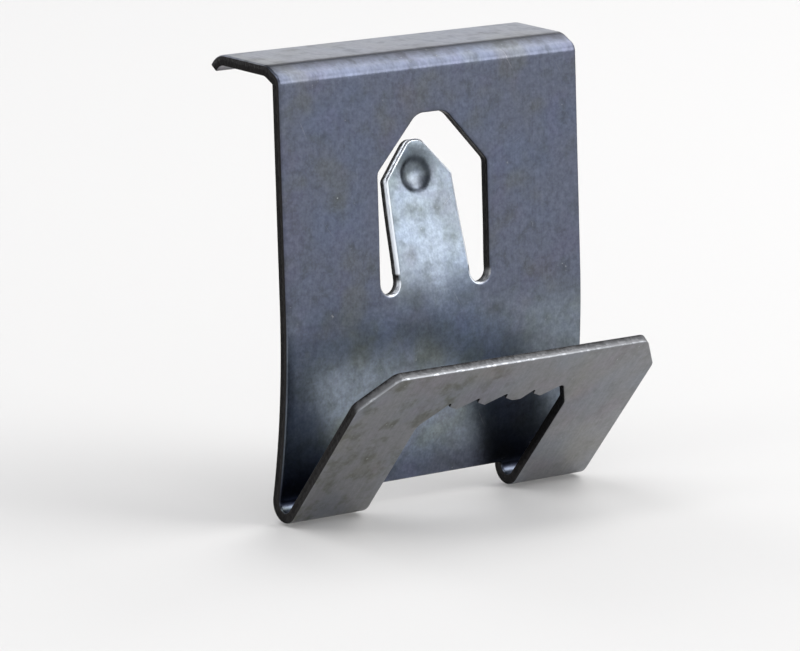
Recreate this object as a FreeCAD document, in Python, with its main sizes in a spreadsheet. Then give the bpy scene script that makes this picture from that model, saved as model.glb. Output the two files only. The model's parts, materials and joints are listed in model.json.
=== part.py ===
import FreeCAD, Part
import math
import os
import Sketcher

# Sawtooth picture hanger, in millimetres. The real one is a single blank of blued spring steel, pierced,
# sheared and bent. It is divided here along its bends and flexure lines, so that each member is a body
# of its own and the two that flex can turn.
#
# Frame: the origin is the middle of the lip's underside, where it sits on the edge of a board.
# +X runs along the lip, +Y points back over the board, +Z points up. The flap leans out towards -Y.

SIZES = [
    # the blank
    ("metal_thickness", 0.75, "thickness of the steel"),
    ("plate_width", 25.4, "width of the plate, the lip and the flap"),
    # the lip and the top bend, which is pressed in two creases with a flat facet between them
    ("seat_depth", 4.54, "flat underside of the lip, front to back"),
    ("facet_run", 1.42, "facet of the top bend, front to back"),
    ("facet_drop", 0.69, "facet of the top bend, top to bottom"),
    ("crease_outer_radius", 0.49, "rounding outside each crease"),
    ("crease_inner_radius", 0.2, "rounding inside each crease"),
    ("curl_radius", 0.99, "inner radius of the lip's curled end"),
    ("curl_angle", 58.0, "turn of the curled end, degrees"),
    ("stub_length", 0.59, "straight metal below the lower crease, down to the plate's seam"),
    # the plate
    ("upper_lean", 4.3, "lean of the plate's straight upper part, degrees"),
    ("upper_length", 14.85, "straight upper part of the plate"),
    ("bow_radius", 59.2, "front radius of the plate's bowed lower part"),
    ("foot_lean", 8.45, "lean of the plate's foot, degrees, the other way"),
    # the arrow-topped window, measured down the plate from its top seam
    ("window_width", 9.37, "window between its upright sides"),
    ("peak_width", 2.47, "flat top of the arrow"),
    ("peak_drop", 2.81, "seam to the arrow's top"),
    ("shoulder_drop", 6.51, "seam to the arrow's shoulders"),
    ("slot_width", 1.63, "each slot beside the tongue"),
    ("slot_drop", 14.06, "seam to the centre of the slots' round ends"),
    ("peak_rounding", 1.28, "rounding of the arrow's top corners"),
    ("shoulder_rounding", 0.59, "rounding of the arrow's shoulders"),
    # the tongue, measured up from its root
    ("root_drop", 13.66, "seam to the line where the tongue flexes"),
    ("root_clearance", 0.02, "running clearance round a flexure's knuckle"),
    ("tongue_set", 15.2, "set of the tongue at its root, degrees behind the plate"),
    ("tongue_radius", 78.9, "front radius that curves the tongue back towards upright"),
    ("tongue_length", 8.98, "root to tip"),
    ("tongue_shoulder_height", 6.41, "root to the tongue's shoulders"),
    ("tongue_shoulder_width", 5.67, "tongue at its shoulders"),
    ("tip_width", 1.1, "flat of the tip before rounding"),
    ("tip_rounding", 0.9, "rounding of the tip's corners"),
    ("dimple_height", 6.56, "root to the dimple's centre"),
    ("dimple_offset", -0.25, "dimple's centre, off the tongue's middle"),
    ("dimple_diameter", 2.42, "dimple at the front face"),
    ("dimple_depth", 0.41, "depth of the dimple"),
    # the bends and the flap
    ("bend_radius", 0.59, "inner radius of the two bends"),
    ("flap_lean", 37.8, "lean of the flap from upright, degrees"),
    ("flap_length", 13.66, "flexure line to the flap's top edge"),
    ("left_corner_width", 2.27, "cut-off left corner, across the flap"),
    ("right_corner_width", 1.87, "cut-off right corner, across the flap"),
    ("corner_height", 2.66, "each cut-off corner, along the flap"),
    ("corner_rounding", 0.69, "rounding of the cut-off corners"),
    # the flap's window and its teeth, measured up from the flexure line
    ("leg_gap", 12.72, "gap between the legs"),
    ("leg_height", 8.19, "flexure line to where the window's sides start to lean in"),
    ("notch_height", 10.31, "flexure line to the bottom of the notches that take the nail"),
    ("tooth_height", 0.84, "notch to tip"),
    ("tooth_pitch", 2.39, "notch to notch"),
    ("tooth_lead", 0.79, "steep side of a tooth, across the flap"),
    ("blunt_width", 0.69, "flat tip of the blunt tooth"),
    ("row_offset", 0.37, "row of teeth, off centre"),
]
TOOTH_COUNT = 4
BLUNT_TOOTH = 2

# Lengths that only have to reach past the metal that they cut.
CUT_MARGIN = 2.0

doc = FreeCAD.newDocument("sawtooth_picture_hanger")
sheet = doc.addObject("Spreadsheet::Sheet", "Sizes")
for row, (alias, value, note) in enumerate(SIZES, start=1):
    sheet.set(f"A{row}", alias)
    sheet.set(f"B{row}", str(value))
    sheet.set(f"C{row}", note)
    sheet.setAlias(f"B{row}", alias)
doc.recompute()


def size(alias):
    """The number in the sheet's cell of that name."""
    return float(sheet.get(alias))


# ---------------------------------------------------------------- sketch helpers

ORIGIN = (-1, 1)
HORIZONTAL_AXIS = -1
VERTICAL_AXIS = -2
START, END, CENTRE = range(1, 4)


def origin_plane(body, role):
    """The body's own origin plane with that role."""
    for feature in body.Origin.OriginFeatures:
        if feature.Role == role:
            return feature
    raise ValueError(role)


def new_sketch(body, name, role):
    """A sketch on one of the body's own origin planes."""
    sketch = body.newObject("Sketcher::SketchObject", name)
    sketch.AttachmentSupport = [(origin_plane(body, role), "")]
    sketch.MapMode = "FlatFace"
    return sketch


def line(sketch, start, end):
    """A straight edge from start to end, each an (x, y) pair."""
    segment = Part.LineSegment(FreeCAD.Vector(*start, 0), FreeCAD.Vector(*end, 0))
    return sketch.addGeometry(segment, False)


def arc(sketch, centre, radius, from_degrees, to_degrees):
    """A round edge that runs anticlockwise."""
    circle = Part.Circle(FreeCAD.Vector(*centre, 0), FreeCAD.Vector(0, 0, 1), radius)
    span = (math.radians(from_degrees), math.radians(to_degrees))
    return sketch.addGeometry(Part.ArcOfCircle(circle, *span), False)


def relate(sketch, kind, *where):
    """A geometric constraint, such as Vertical or Tangent."""
    sketch.addConstraint(Sketcher.Constraint(kind, *where))


def measure(sketch, kind, where, start_value, expression):
    """A dimension that follows the sheet. start_value is where the solver starts."""
    index = sketch.addConstraint(Sketcher.Constraint(kind, *where, start_value))
    sketch.setExpression(f"Constraints[{index}]", expression)


def polygon(sketch, corners):
    """Straight edges through the corners and back to the first one."""
    edges = []
    for position, corner in enumerate(corners):
        edges.append(line(sketch, corner, corners[(position + 1) % len(corners)]))
    for position, edge in enumerate(edges):
        following = edges[(position + 1) % len(edges)]
        relate(sketch, "Coincident", edge, END, following, START)
    return edges


def place_corner(sketch, edge, corner, across, up):
    """Holds the edge's first corner at (across, up), each an expression."""
    measure(sketch, "DistanceX", (*ORIGIN, edge, START), corner[0], across)
    measure(sketch, "DistanceY", (*ORIGIN, edge, START), corner[1], up)


# ---------------------------------------------------------------- feature helpers


def pad_across(body, sketch, name, length_expression):
    """Pads a side profile both ways from the middle."""
    pad = body.newObject("PartDesign::Pad", name)
    pad.Profile = sketch
    pad.Midplane = True
    pad.setExpression("Length", length_expression)
    return pad


def cut_across(body, sketch, name, length_expression):
    """Pockets a side profile both ways from the middle."""
    pocket = body.newObject("PartDesign::Pocket", name)
    pocket.Profile = sketch
    pocket.Midplane = True
    pocket.setExpression("Length", length_expression)
    return pocket


def pierce(body, sketch, name):
    """Pockets a front outline right through the metal, both ways."""
    pocket = body.newObject("PartDesign::Pocket", name)
    pocket.Profile = sketch
    pocket.Type = "ThroughAll"
    pocket.Midplane = True
    return pocket


def edges_at(body, places, direction):
    """Names of the straight edges along direction whose middle is at one of the places."""
    doc.recompute()
    names = []
    for number, edge in enumerate(body.Tip.Shape.Edges, start=1):
        if not isinstance(edge.Curve, Part.Line):
            continue
        if abs(edge.tangentAt(edge.FirstParameter).dot(direction)) < 0.999:
            continue
        middle = edge.CenterOfMass
        for place in places:
            if middle.sub(direction * middle.dot(direction)).distanceToPoint(place) < 0.02:
                names.append(f"Edge{number}")
    return names


def round_edges(body, name, places, direction, radius_expression):
    """Fillets the straight edges at the places."""
    names = edges_at(body, places, direction)
    if len(names) != len(places):
        raise ValueError(f"{name}: {len(names)} edges for {len(places)} places")
    base = body.Tip
    fillet = body.newObject("PartDesign::Fillet", name)
    fillet.Base = (base, names)
    fillet.setExpression("Radius", radius_expression)
    return fillet


def new_body(label, placement):
    """An empty body, labelled with the name of its piece."""
    body = doc.addObject("PartDesign::Body", label)
    body.Label = label
    body.Placement = placement
    return body


def turned_about_x(x, y, z, degrees):
    """A place and a turn about an axis that runs along the lip."""
    rotation = FreeCAD.Rotation(FreeCAD.Vector(1, 0, 0), degrees)
    return FreeCAD.Placement(FreeCAD.Vector(x, y, z), rotation)


# ---------------------------------------------------------------- frames along the folded blank

# Each frame has its Z along the metal and its Y through it, from the front face to the back.

thickness = size("metal_thickness")
facet_angle = math.atan2(size("facet_drop"), size("facet_run"))
upper_lean = math.radians(size("upper_lean"))

# Outer corners of the two creases. The inner corner of the upper one is the front end of the seat.
upper_crease = (-size("seat_depth") / 2 - thickness * math.tan(facet_angle / 2), thickness)
lower_crease = (upper_crease[0] - size("facet_run"), upper_crease[1] - size("facet_drop"))

# The plate's frame: on its front face at the seam under the lower crease, Z up its straight part.
plate_frame = turned_about_x(
    0,
    lower_crease[0] - size("stub_length") * math.sin(upper_lean),
    lower_crease[1] - size("stub_length") * math.cos(upper_lean),
    -size("upper_lean"),
)

# The foot's frame: on the front face where the bow ends and the bends start.
bow_turn = size("upper_lean") + size("foot_lean")
foot_frame = plate_frame * turned_about_x(
    0,
    size("bow_radius") * (1 - math.cos(math.radians(bow_turn))),
    -size("upper_length") - size("bow_radius") * math.sin(math.radians(bow_turn)),
    bow_turn,
)

# The bends' frame: on their axis, turned like the foot.
bend_frame = foot_frame * turned_about_x(0, -size("bend_radius"), 0, 0)

# The flexure of the tongue and that of the flap are in the middle of the metal's thickness.
tongue_frame = plate_frame * turned_about_x(0, thickness / 2, -size("root_drop"), -size("tongue_set"))
flap_opening = size("flap_lean") - size("foot_lean")
middle_radius = size("bend_radius") + thickness / 2
flap_frame = bend_frame * turned_about_x(
    0,
    -middle_radius * math.cos(math.radians(flap_opening)),
    -middle_radius * math.sin(math.radians(flap_opening)),
    flap_opening,
)


# ---------------------------------------------------------------- the lip and the top bend


def make_top_lip():
    """The lip: a flat seat, a curled end, and the two creases of the top bend."""
    body = new_body("top_lip", FreeCAD.Placement())
    sketch = new_sketch(body, "lip_profile", "YZ_Plane")

    half_seat = size("seat_depth") / 2
    curl = size("curl_radius")
    curl_end = 90 - size("curl_angle")
    inner_end = (
        half_seat + curl * math.cos(math.radians(curl_end)),
        curl * (math.sin(math.radians(curl_end)) - 1),
    )
    outer_end = (
        half_seat + (curl + thickness) * math.cos(math.radians(curl_end)),
        (curl + thickness) * math.sin(math.radians(curl_end)) - curl,
    )
    stub = plate_frame.Base
    through = (thickness * math.cos(upper_lean), -thickness * math.sin(upper_lean))
    stub_back = (stub.y + through[0], stub.z + through[1])
    facet_normal = (math.sin(facet_angle), math.cos(facet_angle))
    inner_crease = (
        lower_crease[0] + thickness * facet_normal[0] + 0.1,
        lower_crease[1] - thickness * facet_normal[1] + 0.4,
    )

    seat = line(sketch, (-half_seat, 0), (half_seat, 0))
    inner_curl = arc(sketch, (half_seat, -curl), curl, curl_end, 90)
    end_face = line(sketch, inner_end, outer_end)
    outer_curl = arc(sketch, (half_seat, -curl), curl + thickness, curl_end, 90)
    top = line(sketch, (half_seat, thickness), upper_crease)
    facet = line(sketch, upper_crease, lower_crease)
    front = line(sketch, lower_crease, (stub.y, stub.z))
    seam = line(sketch, (stub.y, stub.z), stub_back)
    back = line(sketch, stub_back, inner_crease)
    inner_facet = line(sketch, inner_crease, (-half_seat, 0))

    relate(sketch, "Horizontal", seat)
    relate(sketch, "Symmetric", seat, START, seat, END, *ORIGIN)
    relate(sketch, "Tangent", seat, END, inner_curl, END)
    relate(sketch, "Coincident", inner_curl, START, end_face, START)
    relate(sketch, "Coincident", end_face, END, outer_curl, START)
    relate(sketch, "Coincident", inner_curl, CENTRE, outer_curl, CENTRE)
    relate(sketch, "PointOnObject", inner_curl, CENTRE, end_face)
    relate(sketch, "Tangent", outer_curl, END, top, START)
    relate(sketch, "Horizontal", top)
    for edge, following in ((top, facet), (facet, front), (front, seam), (seam, back), (back, inner_facet),
                            (inner_facet, seat)):
        relate(sketch, "Coincident", edge, END, following, START)
    relate(sketch, "Perpendicular", front, seam)
    relate(sketch, "Perpendicular", back, seam)
    relate(sketch, "Parallel", facet, inner_facet)

    measure(sketch, "Distance", (seat,), size("seat_depth"), "Sizes.seat_depth")
    measure(sketch, "Radius", (inner_curl,), curl, "Sizes.curl_radius")
    measure(sketch, "Distance", (end_face,), thickness, "Sizes.metal_thickness")
    measure(sketch, "Angle", (end_face,), math.radians(curl_end), "(90 - Sizes.curl_angle) * 1 deg")
    measure(sketch, "DistanceX", (facet, END, facet, START), size("facet_run"), "Sizes.facet_run")
    measure(sketch, "DistanceY", (facet, END, facet, START), size("facet_drop"), "Sizes.facet_drop")
    measure(sketch, "Distance", (facet, START, inner_facet), thickness, "Sizes.metal_thickness")
    measure(sketch, "Distance", (front,), size("stub_length"), "Sizes.stub_length")
    measure(sketch, "Distance", (seam,), thickness, "Sizes.metal_thickness")
    measure(sketch, "Angle", (seam,), -upper_lean, "-Sizes.upper_lean * 1 deg")

    pad_across(body, sketch, "lip_blank", "Sizes.plate_width")
    doc.recompute()
    outer = [FreeCAD.Vector(0, *upper_crease), FreeCAD.Vector(0, *lower_crease)]
    back_corner = sketch.getPoint(back, END)
    inner = [FreeCAD.Vector(0, back_corner.x, back_corner.y), FreeCAD.Vector(0, -half_seat, 0)]
    along_lip = FreeCAD.Vector(1, 0, 0)
    round_edges(body, "crease_outside", outer, along_lip, "Sizes.crease_outer_radius")
    round_edges(body, "crease_inside", inner, along_lip, "Sizes.crease_inner_radius")
    return body


# ---------------------------------------------------------------- the plate


def make_back_plate():
    """The plate: straight above, bowed below, with the arrow-topped window."""
    body = new_body("back_plate", plate_frame)
    profile = new_sketch(body, "plate_profile", "YZ_Plane")
    upper = size("upper_length")
    bow = size("bow_radius")
    turn = math.radians(bow_turn)
    foot_front = (bow * (1 - math.cos(turn)), -upper - bow * math.sin(turn))
    inner_bow = bow - thickness
    foot_back = (bow - inner_bow * math.cos(turn), -upper - inner_bow * math.sin(turn))

    front = line(profile, (0, 0), (0, -upper))
    front_bow = arc(profile, (bow, -upper), bow, 180, 180 + bow_turn)
    foot = line(profile, foot_front, foot_back)
    back_bow = arc(profile, (bow, -upper), inner_bow, 180, 180 + bow_turn)
    back = line(profile, (thickness, -upper), (thickness, 0))
    top = line(profile, (thickness, 0), (0, 0))

    relate(profile, "Coincident", front, START, *ORIGIN)
    relate(profile, "Vertical", front)
    relate(profile, "Tangent", front, END, front_bow, START)
    relate(profile, "Coincident", front_bow, END, foot, START)
    relate(profile, "Coincident", foot, END, back_bow, END)
    relate(profile, "Coincident", front_bow, CENTRE, back_bow, CENTRE)
    relate(profile, "Coincident", back_bow, START, back, START)
    relate(profile, "Vertical", back)
    relate(profile, "Coincident", back, END, top, START)
    relate(profile, "Horizontal", top)
    relate(profile, "Coincident", top, END, front, START)
    relate(profile, "Horizontal", front, END, back, START)
    relate(profile, "PointOnObject", front_bow, CENTRE, foot)
    measure(profile, "Distance", (front,), upper, "Sizes.upper_length")
    measure(profile, "Distance", (top,), thickness, "Sizes.metal_thickness")
    measure(profile, "Radius", (front_bow,), bow, "Sizes.bow_radius")
    measure(profile, "Angle", (foot,), turn, "(Sizes.upper_lean + Sizes.foot_lean) * 1 deg")
    pad_across(body, profile, "plate_blank", "Sizes.plate_width")

    pierce(body, window_outline(body), "window")
    half_peak = size("peak_width") / 2
    half_window = size("window_width") / 2
    peak = [FreeCAD.Vector(side * half_peak, 0, -size("peak_drop")) for side in (-1, 1)]
    shoulders = [FreeCAD.Vector(side * half_window, 0, -size("shoulder_drop")) for side in (-1, 1)]
    through = FreeCAD.Vector(0, 1, 0)
    round_edges(body, "peak_rounded", peak, through, "Sizes.peak_rounding")
    round_edges(body, "shoulders_rounded", shoulders, through, "Sizes.shoulder_rounding")

    seat = new_sketch(body, "root_seat_profile", "YZ_Plane")
    seat_circle(seat, (thickness / 2, -size("root_drop")), "Sizes.metal_thickness / 2", "-Sizes.root_drop")
    cut_across(body, seat, "root_seat", "Sizes.window_width")
    return body


def window_outline(body):
    """The arrow-topped window with a round-ended slot on each side of the tongue's root."""
    sketch = new_sketch(body, "window_outline", "XZ_Plane")
    half = size("window_width") / 2
    half_peak = size("peak_width") / 2
    slot = size("slot_width")
    half_root = half - slot
    peak = -size("peak_drop")
    shoulder = -size("shoulder_drop")
    slot_end = -size("slot_drop")
    root = -size("root_drop")

    left = line(sketch, (-half, slot_end), (-half, shoulder))
    left_slope = line(sketch, (-half, shoulder), (-half_peak, peak))
    top = line(sketch, (-half_peak, peak), (half_peak, peak))
    right_slope = line(sketch, (half_peak, peak), (half, shoulder))
    right = line(sketch, (half, shoulder), (half, slot_end))
    right_round = arc(sketch, (half - slot / 2, slot_end), slot / 2, 180, 360)
    right_root = line(sketch, (half_root, slot_end), (half_root, root))
    root_line = line(sketch, (half_root, root), (-half_root, root))
    left_root = line(sketch, (-half_root, root), (-half_root, slot_end))
    left_round = arc(sketch, (slot / 2 - half, slot_end), slot / 2, 180, 360)

    for edge, following in ((left, left_slope), (left_slope, top), (top, right_slope), (right_slope, right),
                            (right_root, root_line), (root_line, left_root)):
        relate(sketch, "Coincident", edge, END, following, START)
    relate(sketch, "Tangent", right, END, right_round, END)
    relate(sketch, "Tangent", right_root, START, right_round, START)
    relate(sketch, "Tangent", left_root, END, left_round, END)
    relate(sketch, "Tangent", left, START, left_round, START)
    for upright in (left, right, right_root, left_root):
        relate(sketch, "Vertical", upright)
    relate(sketch, "Symmetric", top, START, top, END, VERTICAL_AXIS)
    relate(sketch, "Symmetric", left, END, right, START, VERTICAL_AXIS)
    relate(sketch, "Symmetric", root_line, START, root_line, END, VERTICAL_AXIS)
    relate(sketch, "Horizontal", left_round, CENTRE, right_round, CENTRE)

    measure(sketch, "DistanceX", (top,), size("peak_width"), "Sizes.peak_width")
    measure(sketch, "DistanceX", (left, END, right, START), size("window_width"), "Sizes.window_width")
    measure(sketch, "Radius", (right_round,), slot / 2, "Sizes.slot_width / 2")
    measure(sketch, "DistanceY", (*ORIGIN, top, START), peak, "-Sizes.peak_drop")
    measure(sketch, "DistanceY", (*ORIGIN, left, END), shoulder, "-Sizes.shoulder_drop")
    measure(sketch, "DistanceY", (*ORIGIN, right_round, CENTRE), slot_end, "-Sizes.slot_drop")
    measure(sketch, "DistanceY", (*ORIGIN, root_line, START), root, "-Sizes.root_drop")
    return sketch


def seat_circle(sketch, centre, across, up):
    """The hollow that a flexure's knuckle turns in."""
    radius = thickness / 2 + size("root_clearance")
    circle = Part.Circle(FreeCAD.Vector(*centre, 0), FreeCAD.Vector(0, 0, 1), radius)
    index = sketch.addGeometry(circle, False)
    measure(sketch, "Radius", (index,), radius, "Sizes.metal_thickness / 2 + Sizes.root_clearance")
    measure(sketch, "DistanceX", (*ORIGIN, index, CENTRE), centre[0], across)
    measure(sketch, "DistanceY", (*ORIGIN, index, CENTRE), centre[1], up)


# ---------------------------------------------------------------- the tongue


def make_spring_tongue():
    """The tongue: set back at its root, curved back towards upright, with a pointed tip and a dimple."""
    body = new_body("spring_tongue", tongue_frame)
    profile = new_sketch(body, "tongue_profile", "YZ_Plane")
    half = thickness / 2
    front_radius = size("tongue_radius")
    centre = (-front_radius - half, 0)
    blank_height = size("tongue_length") + CUT_MARGIN / 2
    tip_angle = math.asin(blank_height / front_radius)
    sweep = math.degrees(tip_angle)
    tip_front = (centre[0] + front_radius * math.cos(tip_angle), front_radius * math.sin(tip_angle))
    back_radius = front_radius + thickness
    tip_back = (centre[0] + back_radius * math.cos(tip_angle), back_radius * math.sin(tip_angle))

    knuckle = arc(profile, (0, 0), half, 180, 360)
    back = arc(profile, centre, back_radius, 0, sweep)
    tip = line(profile, tip_back, tip_front)
    front = arc(profile, centre, front_radius, 0, sweep)

    relate(profile, "Coincident", knuckle, CENTRE, *ORIGIN)
    relate(profile, "Coincident", knuckle, END, back, START)
    relate(profile, "Coincident", back, END, tip, START)
    relate(profile, "Coincident", tip, END, front, END)
    relate(profile, "Coincident", front, START, knuckle, START)
    relate(profile, "Coincident", front, CENTRE, back, CENTRE)
    relate(profile, "PointOnObject", front, CENTRE, HORIZONTAL_AXIS)
    relate(profile, "PointOnObject", front, START, HORIZONTAL_AXIS)
    relate(profile, "PointOnObject", back, START, HORIZONTAL_AXIS)
    relate(profile, "PointOnObject", front, CENTRE, tip)
    measure(profile, "Radius", (knuckle,), half, "Sizes.metal_thickness / 2")
    measure(profile, "Radius", (front,), front_radius, "Sizes.tongue_radius")
    blank_expression = f"Sizes.tongue_length + {CUT_MARGIN / 2}"
    measure(profile, "DistanceY", (*ORIGIN, tip, END), blank_height, blank_expression)
    pad_across(body, profile, "tongue_blank", "Sizes.window_width - 2 * Sizes.slot_width")

    pierce(body, tongue_trim(body), "tongue_trimmed")
    tip_places = [FreeCAD.Vector(side * size("tip_width") / 2, 0, size("tongue_length")) for side in (-1, 1)]
    round_edges(body, "tip_rounded", tip_places, FreeCAD.Vector(0, 1, 0), "Sizes.tip_rounding")
    add_dimple(body)
    return body


def tongue_trim(body):
    """What is sheared off: everything outside the tongue's tapered sides and pointed tip."""
    sketch = new_sketch(body, "tongue_trim", "XZ_Plane")
    root = size("window_width") / 2 - size("slot_width")
    root_expression = "(Sizes.window_width / 2 - Sizes.slot_width)"
    reach = root + CUT_MARGIN
    reach_expression = f"({root_expression} + {CUT_MARGIN})"
    top = size("tongue_length") + CUT_MARGIN
    shoulder = size("tongue_shoulder_width") / 2
    tip = size("tip_width") / 2
    right_side = [
        (tip, size("tongue_length"), "Sizes.tip_width / 2", "Sizes.tongue_length"),
        (shoulder, size("tongue_shoulder_height"), "Sizes.tongue_shoulder_width / 2",
         "Sizes.tongue_shoulder_height"),
        (root, 0, root_expression, "0"),
        (reach, 0, reach_expression, "0"),
        (reach, top, reach_expression, f"Sizes.tongue_length + {CUT_MARGIN}"),
    ]
    left_side = [(-across, up, f"-{across_name}", up_name) for across, up, across_name, up_name in right_side]
    corners = right_side + left_side[::-1]
    edges = polygon(sketch, [corner[:2] for corner in corners])
    for edge, corner in zip(edges, corners):
        place_corner(sketch, edge, corner[:2], corner[2], corner[3])
    return sketch


def cap_profile(body, name, thickening, base_offset):
    """Half the section of a round cap, on an axis square to the tongue at the dimple.

    The sketch's origin is the centre of the tongue's curve and its horizontal axis runs through the dimple.
    """
    front_radius = size("tongue_radius")
    lean = math.degrees(size("dimple_height") / front_radius)
    sketch = new_sketch(body, name, "YZ_Plane")
    curve_centre = FreeCAD.Vector(-front_radius - thickness / 2, 0, size("dimple_offset"))
    sketch.AttachmentOffset = FreeCAD.Placement(curve_centre, FreeCAD.Rotation(FreeCAD.Vector(0, 0, 1), lean))
    sketch.setExpression("AttachmentOffset.Base.x", "-Sizes.tongue_radius - Sizes.metal_thickness / 2")
    sketch.setExpression("AttachmentOffset.Base.z", "Sizes.dimple_offset")
    sketch.setExpression("AttachmentOffset.Rotation.Angle", "Sizes.dimple_height / Sizes.tongue_radius * 1 rad")

    depth = size("dimple_depth")
    hollow = ((size("dimple_diameter") / 2) ** 2 + depth ** 2) / (2 * depth)
    hollow_name = "((Sizes.dimple_diameter / 2) ^ 2 + Sizes.dimple_depth ^ 2) / (2 * Sizes.dimple_depth)"
    ball = hollow + thickening * thickness
    middle = front_radius - hollow + depth
    base = front_radius + base_offset * thickness
    reach = math.sqrt(ball ** 2 - (base - middle) ** 2)

    axis = line(sketch, (base, 0), (middle + ball, 0))
    cap = arc(sketch, (middle, 0), ball, 0, math.degrees(math.atan2(reach, base - middle)))
    rim = line(sketch, (base, reach), (base, 0))
    relate(sketch, "PointOnObject", axis, START, HORIZONTAL_AXIS)
    relate(sketch, "Horizontal", axis)
    relate(sketch, "PointOnObject", cap, CENTRE, HORIZONTAL_AXIS)
    relate(sketch, "Coincident", axis, END, cap, START)
    relate(sketch, "Coincident", cap, END, rim, START)
    relate(sketch, "Coincident", rim, END, axis, START)
    relate(sketch, "Vertical", rim)
    measure(sketch, "Radius", (cap,), ball, f"{hollow_name} + {thickening} * Sizes.metal_thickness")
    measure(sketch, "DistanceX", (*ORIGIN, cap, CENTRE), middle,
            f"Sizes.tongue_radius - {hollow_name} + Sizes.dimple_depth")
    measure(sketch, "DistanceX", (*ORIGIN, axis, START), base,
            f"Sizes.tongue_radius + {base_offset} * Sizes.metal_thickness")
    return sketch


def add_dimple(body):
    """The dimple: a hollow pressed into the front face, and the bump that it raises on the back."""
    bump_sketch = cap_profile(body, "bump_profile", 1, 0.9)
    bump = body.newObject("PartDesign::Revolution", "dimple_bump")
    bump.Profile = bump_sketch
    bump.ReferenceAxis = (bump_sketch, ["H_Axis"])
    bump.Angle = 360
    hollow_sketch = cap_profile(body, "hollow_profile", 0, -0.25)
    hollow = body.newObject("PartDesign::Groove", "dimple_hollow")
    hollow.Profile = hollow_sketch
    hollow.ReferenceAxis = (hollow_sketch, ["H_Axis"])
    hollow.Angle = 360


# ---------------------------------------------------------------- the bends


def make_bend(label, side):
    """One U-bend: the plate's metal turned forwards and up, with a hollow end for the flap's knuckle."""
    body = new_body(label, bend_frame)
    profile = new_sketch(body, f"{label}_profile", "YZ_Plane")
    inner_radius = size("bend_radius")
    outer_radius = inner_radius + thickness
    opening = math.radians(flap_opening)
    flap_side = (-math.cos(opening), -math.sin(opening))
    inner_end = (inner_radius * flap_side[0], inner_radius * flap_side[1])
    outer_end = (outer_radius * flap_side[0], outer_radius * flap_side[1])

    plate_end = line(profile, (inner_radius, 0), (outer_radius, 0))
    outer = arc(profile, (0, 0), outer_radius, 180 + flap_opening, 360)
    flap_end = line(profile, outer_end, inner_end)
    inner = arc(profile, (0, 0), inner_radius, 180 + flap_opening, 360)
    relate(profile, "Coincident", inner, CENTRE, *ORIGIN)
    relate(profile, "Coincident", outer, CENTRE, *ORIGIN)
    relate(profile, "Coincident", plate_end, START, inner, END)
    relate(profile, "Coincident", plate_end, END, outer, END)
    relate(profile, "Coincident", flap_end, START, outer, START)
    relate(profile, "Coincident", flap_end, END, inner, START)
    relate(profile, "PointOnObject", plate_end, START, HORIZONTAL_AXIS)
    relate(profile, "PointOnObject", plate_end, END, HORIZONTAL_AXIS)
    relate(profile, "PointOnObject", inner, CENTRE, flap_end)
    measure(profile, "Radius", (inner,), inner_radius, "Sizes.bend_radius")
    measure(profile, "Radius", (outer,), outer_radius, "Sizes.bend_radius + Sizes.metal_thickness")
    measure(profile, "Angle", (flap_end,), opening, "(Sizes.flap_lean - Sizes.foot_lean) * 1 deg")
    shift_to_leg(profile, side)
    leg_pad(body, profile, f"{label}_metal", side)

    seat = new_sketch(body, f"{label}_seat_profile", "YZ_Plane")
    centre = (middle_radius * flap_side[0], middle_radius * flap_side[1])
    reach = "(Sizes.bend_radius + Sizes.metal_thickness / 2)"
    turn = "((Sizes.flap_lean - Sizes.foot_lean) * 1 deg)"
    seat_circle(seat, centre, f"-{reach} * cos{turn}", f"-{reach} * sin{turn}")
    cut_across(body, seat, f"{label}_seat", "Sizes.plate_width + 1")
    return body


def shift_to_leg(sketch, side):
    """Moves a side profile out to the inner face of one leg."""
    sign = "-" if side < 0 else ""
    sketch.setExpression("AttachmentOffset.Base.z", f"{sign}Sizes.leg_gap / 2")


def leg_pad(body, sketch, name, side):
    """Pads a side profile from a leg's inner face to its outer one."""
    pad = body.newObject("PartDesign::Pad", name)
    pad.Profile = sketch
    pad.Reversed = side < 0
    pad.setExpression("Length", "(Sizes.plate_width - Sizes.leg_gap) / 2")
    return pad


# ---------------------------------------------------------------- the flap


def make_saw_flap():
    """The flap: a flat sheet on two legs, with cut-off corners and a row of teeth in its window."""
    body = new_body("saw_flap", flap_frame)
    profile = new_sketch(body, "flap_profile", "YZ_Plane")
    half = thickness / 2
    length = size("flap_length")
    knuckle = arc(profile, (0, 0), half, 180, 360)
    back = line(profile, (half, 0), (half, length))
    top = line(profile, (half, length), (-half, length))
    front = line(profile, (-half, length), (-half, 0))
    relate(profile, "Coincident", knuckle, CENTRE, *ORIGIN)
    relate(profile, "Tangent", knuckle, END, back, START)
    relate(profile, "Coincident", back, END, top, START)
    relate(profile, "Coincident", top, END, front, START)
    relate(profile, "Tangent", front, END, knuckle, START)
    relate(profile, "Vertical", back)
    relate(profile, "Horizontal", top)
    relate(profile, "Vertical", front)
    measure(profile, "Radius", (knuckle,), half, "Sizes.metal_thickness / 2")
    measure(profile, "DistanceY", (*ORIGIN, top, START), length, "Sizes.flap_length")
    pad_across(body, profile, "flap_blank", "Sizes.plate_width")

    pierce(body, saw_outline(body), "saw_window")
    pierce(body, corner_cuts(body), "corners_cut")
    half_width = size("plate_width") / 2
    places = []
    for side, width_name in ((-1, "left_corner_width"), (1, "right_corner_width")):
        places.append(FreeCAD.Vector(side * half_width, 0, length - size("corner_height")))
        places.append(FreeCAD.Vector(side * (half_width - size(width_name)), 0, length))
    round_edges(body, "corners_rounded", places, FreeCAD.Vector(0, 1, 0), "Sizes.corner_rounding")
    return body


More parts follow.
